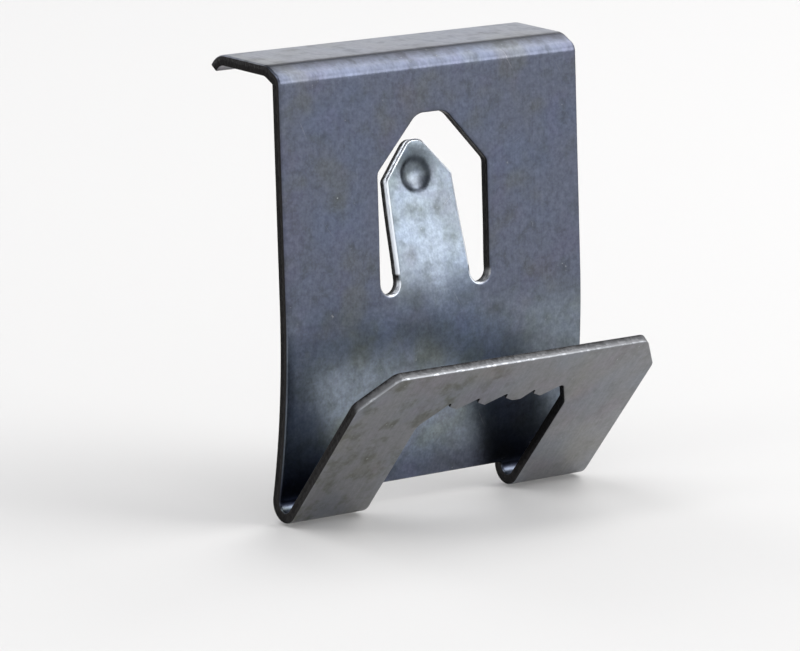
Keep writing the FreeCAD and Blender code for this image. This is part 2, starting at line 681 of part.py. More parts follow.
def saw_outline(body):
    """The flap's window: open between the legs, with the teeth along its top."""
    sketch = new_sketch(body, "saw_outline", "XZ_Plane")
    half_gap = size("leg_gap") / 2
    below = -thickness - CUT_MARGIN
    tip_height = size("notch_height") - size("tooth_height")
    first_notch = size("row_offset") - TOOTH_COUNT * size("tooth_pitch") / 2
    corners = [
        (-half_gap, below, "-Sizes.leg_gap / 2", f"-Sizes.metal_thickness - {CUT_MARGIN}"),
        (-half_gap, size("leg_height"), "-Sizes.leg_gap / 2", "Sizes.leg_height"),
    ]
    for tooth in range(TOOTH_COUNT):
        notch_x = first_notch + tooth * size("tooth_pitch")
        notch = f"Sizes.row_offset + {tooth - TOOTH_COUNT / 2} * Sizes.tooth_pitch"
        corners.append((notch_x, size("notch_height"), notch, "Sizes.notch_height"))
        tip = f"{notch} + Sizes.tooth_lead"
        tip_up = "Sizes.notch_height - Sizes.tooth_height"
        corners.append((notch_x + size("tooth_lead"), tip_height, tip, tip_up))
        if tooth == BLUNT_TOOTH:
            blunt_x = notch_x + size("tooth_lead") + size("blunt_width")
            corners.append((blunt_x, tip_height, f"{tip} + Sizes.blunt_width", tip_up))
    last_notch = first_notch + TOOTH_COUNT * size("tooth_pitch")
    last = f"Sizes.row_offset + {TOOTH_COUNT / 2} * Sizes.tooth_pitch"
    corners += [
        (last_notch, size("notch_height"), last, "Sizes.notch_height"),
        (half_gap, size("leg_height"), "Sizes.leg_gap / 2", "Sizes.leg_height"),
        (half_gap, below, "Sizes.leg_gap / 2", f"-Sizes.metal_thickness - {CUT_MARGIN}"),
    ]
    edges = polygon(sketch, [corner[:2] for corner in corners])
    for edge, corner in zip(edges, corners):
        place_corner(sketch, edge, corner[:2], corner[2], corner[3])
    return sketch


def corner_cuts(body):
    """The two top corners that are sheared off."""
    sketch = new_sketch(body, "corner_cuts", "XZ_Plane")
    half_width = size("plate_width") / 2
    length = size("flap_length")
    for side, width_name in ((-1, "left_corner_width"), (1, "right_corner_width")):
        sign = "-" if side < 0 else ""
        width = size(width_name)
        rise = CUT_MARGIN * size("corner_height") / width
        rise_name = f"{CUT_MARGIN} * Sizes.corner_height / Sizes.{width_name}"
        inside = (side * (half_width - width - CUT_MARGIN),
                  f"{sign}(Sizes.plate_width / 2 - Sizes.{width_name} - {CUT_MARGIN})")
        outside = (side * (half_width + CUT_MARGIN), f"{sign}(Sizes.plate_width / 2 + {CUT_MARGIN})")
        above = (length + rise, f"Sizes.flap_length + {rise_name}")
        below = (length - size("corner_height") - rise,
                 f"Sizes.flap_length - Sizes.corner_height - {rise_name}")
        corners = [(inside, above), (outside, below), (outside, above)]
        points = [(across[0], up[0]) for across, up in corners]
        edges = polygon(sketch, points)
        for edge, point, (across, up) in zip(edges, points, corners):
            place_corner(sketch, edge, point, across[1], up[1])
    return sketch


# ---------------------------------------------------------------- build, check and write

pieces = [
    make_top_lip(),
    make_back_plate(),
    make_spring_tongue(),
    make_bend("left_bend", -1),
    make_bend("right_bend", 1),
    make_saw_flap(),
]
doc.recompute()

for item in doc.Objects:
    if "Invalid" in item.State or "Error" in item.State:
        raise RuntimeError(f"{item.Label} failed: {item.State}")

os.makedirs("parts", exist_ok=True)
for piece in pieces:
    shape = piece.Shape
    if shape.isNull() or not shape.isValid() or len(shape.Solids) != 1:
        raise RuntimeError(f"{piece.Label} is not one valid solid")
    print(f"{piece.Label}: {shape.Volume:.3f} mm3, {shape.BoundBox}")
    shape.exportStep(f"parts/{piece.Label}.step")

for name, frame in (("tongue flexure", tongue_frame), ("flap flexure", flap_frame)):
    print(f"{name}: y {frame.Base.y:.4f}, z {frame.Base.z:.4f}")
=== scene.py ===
"""Sawtooth picture hanger: cut flat from spring steel, its edges rolled over by the punch, then bent.

Flat work is in millimetres: X across the blank, Z up it and Y through the metal, with the front at -Y.
Z is 0 at the seam under the top bend. Finished pieces are in metres in the row frame.
"""
import json
import math

import bmesh
import bpy
from mathutils import Matrix, Vector, noise
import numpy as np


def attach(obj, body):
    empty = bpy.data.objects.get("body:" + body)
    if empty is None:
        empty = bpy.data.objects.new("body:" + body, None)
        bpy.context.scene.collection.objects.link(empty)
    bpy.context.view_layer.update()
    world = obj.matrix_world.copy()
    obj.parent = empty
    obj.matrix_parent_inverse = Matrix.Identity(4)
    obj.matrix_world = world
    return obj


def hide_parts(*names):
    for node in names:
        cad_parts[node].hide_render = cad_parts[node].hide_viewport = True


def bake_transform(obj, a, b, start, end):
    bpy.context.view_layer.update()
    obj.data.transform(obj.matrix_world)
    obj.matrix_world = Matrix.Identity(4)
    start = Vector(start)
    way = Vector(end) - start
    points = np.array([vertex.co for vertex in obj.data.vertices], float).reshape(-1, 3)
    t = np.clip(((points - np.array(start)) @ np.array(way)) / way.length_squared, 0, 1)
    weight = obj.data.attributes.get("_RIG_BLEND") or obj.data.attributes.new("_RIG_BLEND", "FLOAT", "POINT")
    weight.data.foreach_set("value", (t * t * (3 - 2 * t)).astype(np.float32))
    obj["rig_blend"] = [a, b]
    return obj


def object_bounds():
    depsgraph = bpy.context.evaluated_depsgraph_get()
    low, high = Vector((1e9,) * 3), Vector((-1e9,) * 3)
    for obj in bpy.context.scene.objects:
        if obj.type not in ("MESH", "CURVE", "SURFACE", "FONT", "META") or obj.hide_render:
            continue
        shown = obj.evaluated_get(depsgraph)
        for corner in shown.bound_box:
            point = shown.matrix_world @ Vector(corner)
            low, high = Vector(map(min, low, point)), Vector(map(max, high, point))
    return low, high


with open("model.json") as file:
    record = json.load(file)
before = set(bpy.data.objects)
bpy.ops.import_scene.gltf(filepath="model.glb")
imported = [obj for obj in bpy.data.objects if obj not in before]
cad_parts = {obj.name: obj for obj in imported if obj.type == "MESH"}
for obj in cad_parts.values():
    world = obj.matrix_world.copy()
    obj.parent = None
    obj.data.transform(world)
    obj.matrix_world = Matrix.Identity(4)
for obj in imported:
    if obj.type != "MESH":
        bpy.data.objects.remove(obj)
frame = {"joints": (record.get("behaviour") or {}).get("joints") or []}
cad_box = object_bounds()

MM = 0.001

# ------------------------------------------------------------------ sizes of the blank, in millimetres

THICKNESS = 0.75
HALF_THICKNESS = THICKNESS / 2
HALF_WIDTH = 12.6995

# The lip over the board's edge: its seat, the slanting facet in front of it and the curled-down end.
SEAT_DEPTH = 4.54
FACET_RUN, FACET_DROP = 1.42, 0.69
LOWER_RADIUS, UPPER_RADIUS = 0.42, 1.3
CURL_RADIUS, CURL_TURN = 0.99, 58.0
STUB = 0.59

# The plate leans one way, bows, and leans the other way at its foot. Two U-bends carry the flap.
UPPER_LEAN, UPPER_LENGTH = 4.3, 14.85
BOW_RADIUS = 59.2
FOOT_LEAN = 8.45
BEND_RADIUS = 0.587
FLAP_LEAN, FLAP_LENGTH = 37.8, 13.66

# The flap's cut corners: their width on the left and on the right, their height and their rounding.
CORNER_LEFT, CORNER_RIGHT, CORNER_HEIGHT, CORNER_ROUNDING = 2.27, 1.87, 2.66, 0.69

# The arrow-topped window and the slot on each side of the tongue's root.
WINDOW_HALF, WINDOW_SHOULDER, WINDOW_SHOULDER_ROUNDING = 4.685, -6.51, 0.59
PEAK_HALF, PEAK, PEAK_ROUNDING = 1.235, -2.81, 1.28
SLOT_WIDTH, SLOT_CENTRE = 1.63, -14.06

# The tongue: its outline, the way it is set back, and the dimple pressed into it.
TONGUE_ROOT, TONGUE_LENGTH = -13.66, 8.98
TONGUE_SHOULDER_HALF, TONGUE_SHOULDER, TONGUE_SHOULDER_ROUNDING = 2.835, 6.41, 0.4
TONGUE_TIP_HALF, TONGUE_TIP_ROUNDING = 0.55, 0.9
TONGUE_SET, TONGUE_RADIUS = 15.2, 78.9
DIMPLE_ACROSS, DIMPLE_UP = -0.25, TONGUE_ROOT + 6.56
DIMPLE_RADIUS, DIMPLE_DEPTH = 1.21, 0.41
DIMPLE_DRAW = 0.14
DRAW_FULL, DRAW_END = DIMPLE_RADIUS - 0.6, 1.7 * DIMPLE_RADIUS

# The middle of the gap round the tongue, which parts the tongue from the plate.
GAP_TOP, GAP_TOP_HALF, GAP_SPREAD, GAP_HALF = -3.75, 0.9, 0.92, 3.8

# The window between the legs. Its heights are measured down from the start of the flap.
LEGS_HALF, LEGS_TOP, NOTCH, TOOTH_TIP = 6.36, 8.19, 10.31, 9.43
LEGS_FOOT_ROUNDING, LEFT_TOP_ROUNDING, RIGHT_TOP_ROUNDING = 0.25, 0.9, 0.7

# The teeth all lean one way, each on a short straight step. One of them is blunt.
TOOTH_COUNT, BLUNT_TOOTH = 4, 2
TOOTH_PITCH, TOOTH_LEAD, BLUNT_WIDTH = 2.39, 0.79, 0.69
FIRST_NOTCH = 0.37 - 2 * TOOTH_PITCH
STEP_HEIGHT, STEP_LEAN = 0.5, 0.04
NOTCH_ROUNDING, LAST_NOTCH_ROUNDING = 0.12, 0.35

# The punch rolls the front edges over and leaves the back ones crisp: (across, through) for each side.
FRONT_ROLL = (0.2, 0.11)
BACK_ROLL = (0.09, 0.06)

# How finely the blank is worked: steps in a rolled edge and in a rounded corner, the flat strip inside a
# rolled edge, the grid over the faces, and the finer grid round the dimple with its margins.
ROLL_STEPS, CORNER_STEPS = 4, 10
SUPPORT = 0.05
GRID, DIMPLE_GRID, DIMPLE_GRID_MARGIN, DIMPLE_GRID_EDGE = 0.8, 0.13, 0.35, 0.5

# Lengths too small to matter: points this close are one, and a point this close to a line is on it.
WELD, HAIR, CUT_WIDTH = 0.002, 1e-4, 1e-5

# A face looks squarely out of the front or the back if its normal points there by more than this.
SQUARELY = 0.9


def tangent(radius, turn):
    """Length that a rounded corner takes from each side of it."""
    return radius * math.tan(math.radians(turn) / 2)


def arc_length(radius, turn):
    """Length of metal in a bend."""
    return radius * math.radians(turn)


FACET_SLOPE = math.degrees(math.atan2(FACET_DROP, FACET_RUN))
LOWER_TURN = 90 - UPPER_LEAN - FACET_SLOPE
FACET_LENGTH = (math.hypot(FACET_RUN, FACET_DROP) - tangent(HALF_THICKNESS, FACET_SLOPE)
                - tangent(HALF_THICKNESS, LOWER_TURN))
BOW_TURN = UPPER_LEAN + FOOT_LEAN
U_TURN = 180 - (FLAP_LEAN - FOOT_LEAN)

# Heights on the flat blank where each bend starts and ends.
LOWER_CREASE = STUB - tangent(HALF_THICKNESS, LOWER_TURN) - tangent(LOWER_RADIUS, LOWER_TURN)
FACET_START = LOWER_CREASE + arc_length(LOWER_RADIUS, LOWER_TURN)
FACET_END = (FACET_START + FACET_LENGTH - tangent(LOWER_RADIUS, LOWER_TURN)
             - tangent(UPPER_RADIUS, FACET_SLOPE))
SEAT_START = FACET_END + arc_length(UPPER_RADIUS, FACET_SLOPE)
SEAT_END = (SEAT_START + SEAT_DEPTH + tangent(HALF_THICKNESS, FACET_SLOPE)
            - tangent(UPPER_RADIUS, FACET_SLOPE))
LIP_END = SEAT_END + arc_length(CURL_RADIUS + HALF_THICKNESS, CURL_TURN)
BOW_START = -UPPER_LENGTH
FOOT = BOW_START - arc_length(BOW_RADIUS - HALF_THICKNESS, BOW_TURN)
FLAP_START = FOOT - arc_length(BEND_RADIUS + HALF_THICKNESS, U_TURN)
FLAP_END = FLAP_START - FLAP_LENGTH
BEND_MIDDLE = (FOOT + FLAP_START) / 2

# Each bend: start, end, turn in degrees of what lies beyond it, and number of fold lines.
BENDS_ABOVE = [
    (LOWER_CREASE, FACET_START, -LOWER_TURN, 12),
    (FACET_END, SEAT_START, -FACET_SLOPE, 10),
    (SEAT_END, LIP_END, -CURL_TURN, 14),
]
BENDS_BELOW = [
    (BOW_START, FOOT, BOW_TURN, 18),
    (FOOT, FLAP_START, -U_TURN, 44),
]

# The tongue's set is spread over the metal on both sides of its root, with heights from the root.
ROOT_BENDS_BELOW = [(-3.8, -1.6, 2.6, 6), (-1.6, 0.0, 7.6, 8)]
TURN_BELOW_ROOT = sum(turn for _, _, turn, _ in ROOT_BENDS_BELOW)
ROOT_BENDS_ABOVE = [(0.0, 1.8, TONGUE_SET - TURN_BELOW_ROOT, 9)]
TONGUE_CURVE = [(0.0, TONGUE_LENGTH, math.degrees(TONGUE_LENGTH / TONGUE_RADIUS), 14)]

# The fold lines above the root are scored across the tongue alone, in a stretch of this size.
ROOT_HALF, ROOT_HEIGHT = 3.5, 2.4

# The hollow that the tongue's set draws into the plate dies away to the sides and above the root.
HOLLOW_SIDES = (5.6, 2.4)
HOLLOW_TOP = (TONGUE_ROOT + 3, TONGUE_ROOT)

# Waves of the rolled sheet: their length across and along it, their height, and the pattern's slice.
WAVES = [(5.5, 7.5, 0.016, 3.1), (2.3, 2.9, 0.0025, 8.4)]
CALM_AT_TOP = (SEAT_START, -2.5)
CALM_AT_BENDS = (2.2, 5.0)


# ------------------------------------------------------------------ cutting the blank


def round_corner(bm, vert, radius):
    """Rounds one corner of a cutting line."""
    first, second = (edge.other_vert(vert).co - vert.co for edge in vert.link_edges)
    turn = 180 - math.degrees(first.angle(second))
    bmesh.ops.bevel(bm, geom=[vert], offset=tangent(radius, turn), offset_type="OFFSET",
                    segments=CORNER_STEPS, profile=0.5, affect="VERTICES", clamp_overlap=False, material=-1)


def cutting_line(bm, corners):
    """A closed line through the corners, each (across, up, rounding). It stays as edges only."""
    verts = [bm.verts.new((across, 0, up)) for across, up, _ in corners]
    bm.faces.new(verts)
    for vert, (_, _, rounding) in zip(verts, corners):
        if rounding:
            round_corner(bm, vert, rounding)
    bmesh.ops.delete(bm, geom=bm.faces[:], context="FACES_ONLY")


def mirrored(corners):
    """The corners and, in reverse order, their mirror images across the middle."""
    return corners + [(-across, up, rounding) for across, up, rounding in reversed(corners)]


def blank_outline(bm):
    """Outside of the blank, from the lip's end down to the flap's top edge, whose corners are cut off."""
    corner = FLAP_END + CORNER_HEIGHT
    cutting_line(bm, [
        (-HALF_WIDTH, LIP_END, 0),
        (-HALF_WIDTH, corner, CORNER_ROUNDING),
        (-HALF_WIDTH + CORNER_LEFT, FLAP_END, CORNER_ROUNDING),
        (HALF_WIDTH - CORNER_RIGHT, FLAP_END, CORNER_ROUNDING),
        (HALF_WIDTH, corner, CORNER_ROUNDING),
        (HALF_WIDTH, LIP_END, 0),
    ])


def tongue_channel(bm):
    """The gap round the tongue: the arrow-topped window outside it and the tongue's own outline inside."""
    root_half = WINDOW_HALF - SLOT_WIDTH
    slot_foot = SLOT_CENTRE - SLOT_WIDTH / 2
    slot_rounding = SLOT_WIDTH / 2 - HAIR
    cutting_line(bm, mirrored([
        (PEAK_HALF, PEAK, PEAK_ROUNDING),
        (WINDOW_HALF, WINDOW_SHOULDER, WINDOW_SHOULDER_ROUNDING),
        (WINDOW_HALF, slot_foot, slot_rounding),
        (root_half, slot_foot, slot_rounding),
        (root_half, TONGUE_ROOT, 0),
        (TONGUE_SHOULDER_HALF, TONGUE_ROOT + TONGUE_SHOULDER, TONGUE_SHOULDER_ROUNDING),
        (TONGUE_TIP_HALF, TONGUE_ROOT + TONGUE_LENGTH, TONGUE_TIP_ROUNDING),
    ]))


def saw_window(bm):
    """The window between the legs, with the teeth along its far side."""
    legs_top, notch, tip = FLAP_START - LEGS_TOP, FLAP_START - NOTCH, FLAP_START - TOOTH_TIP
    teeth = []
    for tooth in range(TOOTH_COUNT):
        across = FIRST_NOTCH + tooth * TOOTH_PITCH
        teeth.append((across, notch, NOTCH_ROUNDING))
        teeth.append((across + STEP_LEAN, notch + STEP_HEIGHT, 0))
        teeth.append((across + TOOTH_LEAD, tip, 0))
        if tooth == BLUNT_TOOTH:
            teeth.append((across + TOOTH_LEAD + BLUNT_WIDTH, tip, 0))
    cutting_line(bm, [
        (-LEGS_HALF, FOOT, LEGS_FOOT_ROUNDING),
        (-LEGS_HALF, legs_top, LEFT_TOP_ROUNDING),
        *teeth,
        (FIRST_NOTCH + TOOTH_COUNT * TOOTH_PITCH, notch, LAST_NOTCH_ROUNDING),
        (LEGS_HALF, legs_top, RIGHT_TOP_ROUNDING),
        (LEGS_HALF, FOOT, LEGS_FOOT_ROUNDING),
    ])


def roll_edges(bm, faces, roll):
    """Rolls the rim of one side of the blank over, with a narrow flat strip inside the roll."""
    across_before, through_before = 0.0, 0.0
    for step in range(1, ROLL_STEPS + 1):
        angle = math.radians(90 * step / ROLL_STEPS)
        across, through = roll[0] * (1 - math.cos(angle)), roll[1] * math.sin(angle)
        bmesh.ops.inset_region(bm, faces=faces, use_boundary=True, use_even_offset=True,
                               thickness=across - across_before, depth=through - through_before)
        across_before, through_before = across, through
    bmesh.ops.inset_region(bm, faces=faces, use_boundary=True, use_even_offset=True,
                           thickness=SUPPORT, depth=0)


def cut_blank():
    """The flat blank: cutting lines, thickness and rolled edges. Edges that only fill a face are seams."""
    bm = bmesh.new()
    for draw in (blank_outline, tongue_channel, saw_window):
        draw(bm)
    bmesh.ops.remove_doubles(bm, verts=bm.verts[:], dist=WELD)
    bmesh.ops.triangle_fill(bm, edges=bm.edges[:], use_beauty=True, normal=(0, -1, 0))
    bmesh.ops.translate(bm, verts=bm.verts[:], vec=(0, FRONT_ROLL[1] - HALF_THICKNESS, 0))
    bmesh.ops.solidify(bm, geom=bm.faces[:], thickness=THICKNESS - FRONT_ROLL[1] - BACK_ROLL[1])
    bmesh.ops.recalc_face_normals(bm, faces=bm.faces[:])
    for facing, roll in ((-1, FRONT_ROLL), (1, BACK_ROLL)):
        roll_edges(bm, [face for face in bm.faces if face.normal.y * facing > SQUARELY], roll)
    fill = {face for face in bm.faces if abs(face.calc_center_median().y) > HALF_THICKNESS - HAIR}
    for edge in bm.edges:
        edge.seam = all(face in fill for face in edge.link_faces)
    return bm


# ------------------------------------------------------------------ fold lines and grid


def lines_in(bends):
    """(height, turn) of every fold line of some bends."""
    lines = []
    for start, end, turn, count in bends:
        for number in range(count):
            lines.append((start + (number + 0.5) * (end - start) / count, turn / count))
    return lines


def is_within(face, low, high):
    """Whether a face of the flat blank lies between two corners of a rectangle."""
    middle = face.calc_center_median()
    return low.x < middle.x < high.x and low.z < middle.z < high.z


def score(bm, position, along, within=None):
    """Scores a line into both faces of the blank, across it or along it."""
    faces = bm.faces[:]
    if within:
        faces = [face for face in faces if is_within(face, *within)]
    edges = {edge for face in faces for edge in face.edges}
    verts = {vert for face in faces for vert in face.verts}
    normal = (1, 0, 0) if along else (0, 0, 1)
    bmesh.ops.bisect_plane(bm, geom=[*verts, *edges, *faces], dist=CUT_WIDTH,
                           plane_co=Vector(normal) * position, plane_no=normal)


def spaced(low, high, gap):
    """Evenly spaced positions strictly between low and high, about gap apart."""
    count = max(1, round((high - low) / gap))
    return [low + (high - low) * number / count for number in range(1, count)]


def score_dimple(bm):
    """Scores a fine grid where the dimple is pressed."""
    reach = DIMPLE_RADIUS + DIMPLE_GRID_MARGIN
    low = Vector((DIMPLE_ACROSS - reach, 0, DIMPLE_UP - reach))
    high = Vector((DIMPLE_ACROSS + reach, 0, DIMPLE_UP + reach))
    edge = Vector((DIMPLE_GRID_EDGE, 0, DIMPLE_GRID_EDGE))
    for along, start, end in ((False, low.z, high.z), (True, low.x, high.x)):
        for position in [start, *spaced(start, end, DIMPLE_GRID), end]:
            score(bm, position, along, within=(low - edge, high + edge))


def score_blank(bm):
    """Scores fold lines, partings and an even grid, then takes out the edges that only filled the outline."""
    heights = [0.0, TONGUE_ROOT, FOOT, FLAP_START]
    heights += [height for height, _ in lines_in(BENDS_ABOVE) + lines_in(BENDS_BELOW)]
    heights += [TONGUE_ROOT + height for height, _ in lines_in(ROOT_BENDS_BELOW)]
    for low, high in ((FLAP_END, FLAP_START), (TONGUE_ROOT, 0.0), (SEAT_START, SEAT_END)):
        heights += spaced(low, high, GRID)
    for height in heights:
        score(bm, height, along=False)
    for across in spaced(-HALF_WIDTH, HALF_WIDTH, GRID):
        score(bm, across, along=True)
    root = (Vector((-ROOT_HALF, 0, TONGUE_ROOT)), Vector((ROOT_HALF, 0, TONGUE_ROOT + ROOT_HEIGHT)))
    for height, _ in lines_in(ROOT_BENDS_ABOVE):
        score(bm, TONGUE_ROOT + height, along=False, within=root)
    score_dimple(bm)
    bmesh.ops.dissolve_edges(bm, edges=[edge for edge in bm.edges if edge.seam], use_verts=True)


# ------------------------------------------------------------------ places on the flat blank


def fade(value, start, end):
    """0 at start and 1 at end, with an easy slope between them."""
    share = min(max((value - start) / (end - start), 0), 1)
    return share * share * (3 - 2 * share)


def near(value, middle, far, close):
    """1 closer than close to the middle, and 0 farther than far from it."""
    return fade(abs(value - middle), far, close)


def from_bend(up):
    """Distance from the bottom of the U-bends."""
    return abs(up - BEND_MIDDLE)


def in_tongue(across, up):
    """Whether a place on the flat blank is inside the middle of the gap round the tongue."""
    reach = min(GAP_HALF, GAP_TOP_HALF + (GAP_TOP - up) * GAP_SPREAD)
    return TONGUE_ROOT + HAIR < up < GAP_TOP and abs(across) < reach


# ------------------------------------------------------------------ pressing and bending


def root_sink(up):
    """How far the plate's metal below the tongue's root is drawn back by the tongue's set."""
    return sum(math.radians(turn) * max(up - height, 0) for height, turn in lines_in(ROOT_BENDS_BELOW))


def wave(across, up):
    """The slight waviness of the rolled sheet. It dies away at the bends, which the tool sets exactly."""
    calm = fade(up, *CALM_AT_TOP) * fade(from_bend(up), *CALM_AT_BENDS)
    heights = [noise.noise(Vector((across / width, up / length, pattern))) * height
               for width, length, height, pattern in WAVES]
    return calm * sum(heights)


def dimple_depth(across, up):
    """Depth of the dimple, with the rounded rim and the metal round it that the punch draws in."""
    away = math.hypot(across - DIMPLE_ACROSS, up - DIMPLE_UP)
    ball = (DIMPLE_RADIUS ** 2 + DIMPLE_DEPTH ** 2) / (2 * DIMPLE_DEPTH)
    cap = math.sqrt(ball ** 2 - min(away, DIMPLE_RADIUS) ** 2) - (ball - DIMPLE_DEPTH)
    share = 1 - DIMPLE_DRAW / DIMPLE_DEPTH
    return share * cap + DIMPLE_DRAW * (1 - fade(away, DRAW_FULL, DRAW_END))


def press(bm):
    """Presses the dimple and the hollow under the tongue's root, and lets the sheet wave a little."""
    for vert in bm.verts:
        across, _, up = vert.co
        sink = 0.0
        if not in_tongue(across, up):
            sink = root_sink(min(up - TONGUE_ROOT, 0)) * fade(abs(across), *HOLLOW_SIDES)
            sink *= fade(up, *HOLLOW_TOP)
        vert.co.y += wave(across, up) + sink + dimple_depth(across, up) * float(up > TONGUE_ROOT)


def turned(degrees):
    """A turn about the blank's own width."""
    return Matrix.Rotation(math.radians(degrees), 3, "X")


def fold(bm, lines, flat, beyond):
    """Turns the metal beyond each line about it, the farthest line first. flat holds the flat heights."""
    for height, turn in sorted(lines, key=lambda line: -abs(line[0])):
        outside = [vert for vert in bm.verts if beyond(vert, height)]
        on_line = [vert for vert in bm.verts if abs(vert[flat] - height) < HAIR]
        bmesh.ops.rotate(bm, verts=outside, cent=(0, 0, height), matrix=turned(turn))
        bmesh.ops.rotate(bm, verts=on_line, cent=(0, 0, height), matrix=turned(turn / 2))


def set_tongue(bm, flat, tongue):
    """Sets the tongue back and curves it towards upright again, as one with the metal under its root."""
    verts = [vert for vert in bm.verts if vert[tongue] > 0.5]
    lines = [(height, -turn) for height, turn in lines_in(ROOT_BENDS_ABOVE)] + lines_in(TONGUE_CURVE)
    for height, turn in sorted(lines, reverse=True):
        line = TONGUE_ROOT + height
        outside = [vert for vert in verts if vert[flat] > line + HAIR]
        bmesh.ops.rotate(bm, verts=outside, cent=(0, 0, line), matrix=turned(turn))
    bmesh.ops.rotate(bm, verts=verts, cent=(0, 0, TONGUE_ROOT), matrix=turned(-TURN_BELOW_ROOT))
    bmesh.ops.translate(bm, verts=verts, vec=(0, root_sink(0), 0))


def bend_blank(bm):
    """Bends the scored blank and puts it in the row frame, still as one sheet."""
    flat = bm.verts.layers.float.new("flat_height")
    tongue = bm.verts.layers.float.new("in_tongue")
    for vert in bm.verts:
        vert[flat] = vert.co.z
        vert[tongue] = float(in_tongue(vert.co.x, vert.co.z))
    press(bm)
    set_tongue(bm, flat, tongue)
    fold(bm, lines_in(BENDS_ABOVE), flat, lambda vert, height: vert[flat] > height + HAIR)
    fold(bm, lines_in(BENDS_BELOW), flat, lambda vert, height: vert[flat] < height - HAIR)
    lean = math.radians(UPPER_LEAN)
    seat_front = -SEAT_DEPTH / 2 - tangent(THICKNESS, FACET_SLOPE)
    seam = Vector((0, seat_front - FACET_RUN - STUB * math.sin(lean),
                   THICKNESS - FACET_DROP - STUB * math.cos(lean)))
    place = Matrix.Scale(MM, 4) @ Matrix.Translation(seam) @ Matrix.Rotation(-lean, 4, "X")
    place = place @ Matrix.Translation((0, HALF_THICKNESS, 0))
    bmesh.ops.transform(bm, matrix=place, verts=bm.verts[:])


# ------------------------------------------------------------------ notes on the blank for the steel to read

# What is noted at each place: how far round a rolled edge it is, how near the side that is seen from the
# front, whether it is on the strip's dull side, how thin its bluing is with a painted sheen over it, how worn
# it is, the painted shade and painted light on it, and the painted shade of the dark ring in the dimple.
NOTES = ("rolled", "outer", "dull", "thin_bluing_and_sheen", "worn", "painted_shade", "painted_light", "painted_ring_shade")

# A pair is where a mark starts to show on the flat blank and where it is full. Three numbers are the
# middle of a mark, how far from it the mark starts and how close to it the mark is full. The single
# numbers named for a painted gleam, for painted shade and for painted light are strengths.
FOLDED_OVER = (FOOT, FLAP_START - 1.0)

# Thin bluing with a painted sheen round the tongue's root and on the bow, and a painted highlight in the
# U-bends.
BESIDE_ROOT = (4.4, 2.9)
UNDER_ROOT = (TONGUE_ROOT + 1.2, TONGUE_ROOT)
SHEEN_UP_TONGUE = (TONGUE_ROOT - 6.0, TONGUE_ROOT + 2.2)
BOW_SHEEN_TOP, BOW_SHEEN_FOOT = (-14.8, -18.2), (FOOT + 0.5, FOOT + 3.0)
PAINTED_BEND_GLEAM, PAINTED_RIGHT_GLEAM = (0.7, 0.2), 0.4

SLOT_RIM_SIDES, SLOT_RIM_HEIGHT = (5.3, 4.9), (-15.0, 1.1, 0.8)
FLAP_RIM = (FLAP_END + 3.0, FLAP_END + 2.2)

# Painted shade: dark reflections in the throats of the U-bends, along the crease and down the left rim.
THROATS_MIDDLE = 0.6
OUTER_THROATS, OUTER_THROATS_DEPTH = (5.6, 7.6), (6.5, 1.8)
RIGHT_THROAT_LEFT, RIGHT_THROAT_RIGHT, RIGHT_THROAT_DEPTH = (2.6, 5.0), (10.5, 8.5), (9.0, 5.2)
THROAT_BOTTOM = (0.4, 1.0)
CREASE_LINE, CREASE_SHADE = (FACET_END + 0.15, 0.6, 0.12), 0.95
LEFT_RIM, LEFT_RIM_DOWN, LEFT_RIM_SHADE = (-12.3, -12.6), (-12.0, -19.0), 0.8

# Painted light: paler stretches on the flap's right leg and on the plate's front.
RIGHT_LEG_SIDE, RIGHT_LEG_UP, RIGHT_LEG_LIGHT = (5.8, 6.4), (FLAP_START - 7.5, FLAP_START - 5.0), 0.3
LEFT_BOW_SIDE, LEFT_BOW_FOOT, LEFT_BOW_TOP, LEFT_BOW_LIGHT = (-6.0, -9.0), (-25.5, -22.5), (-17.5, -19.3), 0.8
MIDDLE_BOW_SIDE, MIDDLE_BOW_LIGHT = (7.0, 3.5), 0.6
ROOT_STREAK_WIDTH, ROOT_STREAK_HEIGHT, ROOT_STREAK_LIGHT = (0.2, 1.3, 0.2), (-15.2, 2.0, 0.4), 0.8
LEFT_STREAK_SIDE, LEFT_STREAK_HEIGHT, LEFT_STREAK_LIGHT = (-10.6, -11.6), (-17.6, 3.4, 1.4), 0.7

# Painted shade: the dark ring inside the dimple.
RING_INSET, RING_REACH, RING_SWELL, RING_CORE = 0.10, 0.26, 0.16, 0.06
RING_TOWARDS = (0.5, 0.85)


def bow_sheen(up):
    """Painted sheen where the plate bows: how much lighter the plate is painted there."""
    return fade(up, *BOW_SHEEN_TOP) * fade(up, *BOW_SHEEN_FOOT)


def thin_bluing_and_sheen_at(across, up):
    """Thin bluing with a painted sheen: lighter on the tongue and under it and where the plate bows, and a
    painted highlight along the U-bends.
    """
    near_tongue = 1.0
    if not in_tongue(across, up):
        near_tongue = fade(abs(across), *BESIDE_ROOT) * fade(up, *UNDER_ROOT)
    painted_gleam = fade(from_bend(up), *PAINTED_BEND_GLEAM) * (1.0 if across < 0 else PAINTED_RIGHT_GLEAM)
    return max(near_tongue * fade(up, *SHEEN_UP_TONGUE), bow_sheen(up), painted_gleam)


def wear(across, up):
    """Where the rim is rubbed: round the tongue, at the slots' feet and along the top of the flap."""
    slot_rim = 1.0
    if not in_tongue(across, up):
        slot_rim = fade(abs(across), *SLOT_RIM_SIDES) * near(up, *SLOT_RIM_HEIGHT)
    return max(fade(up, *FLAP_RIM), slot_rim)


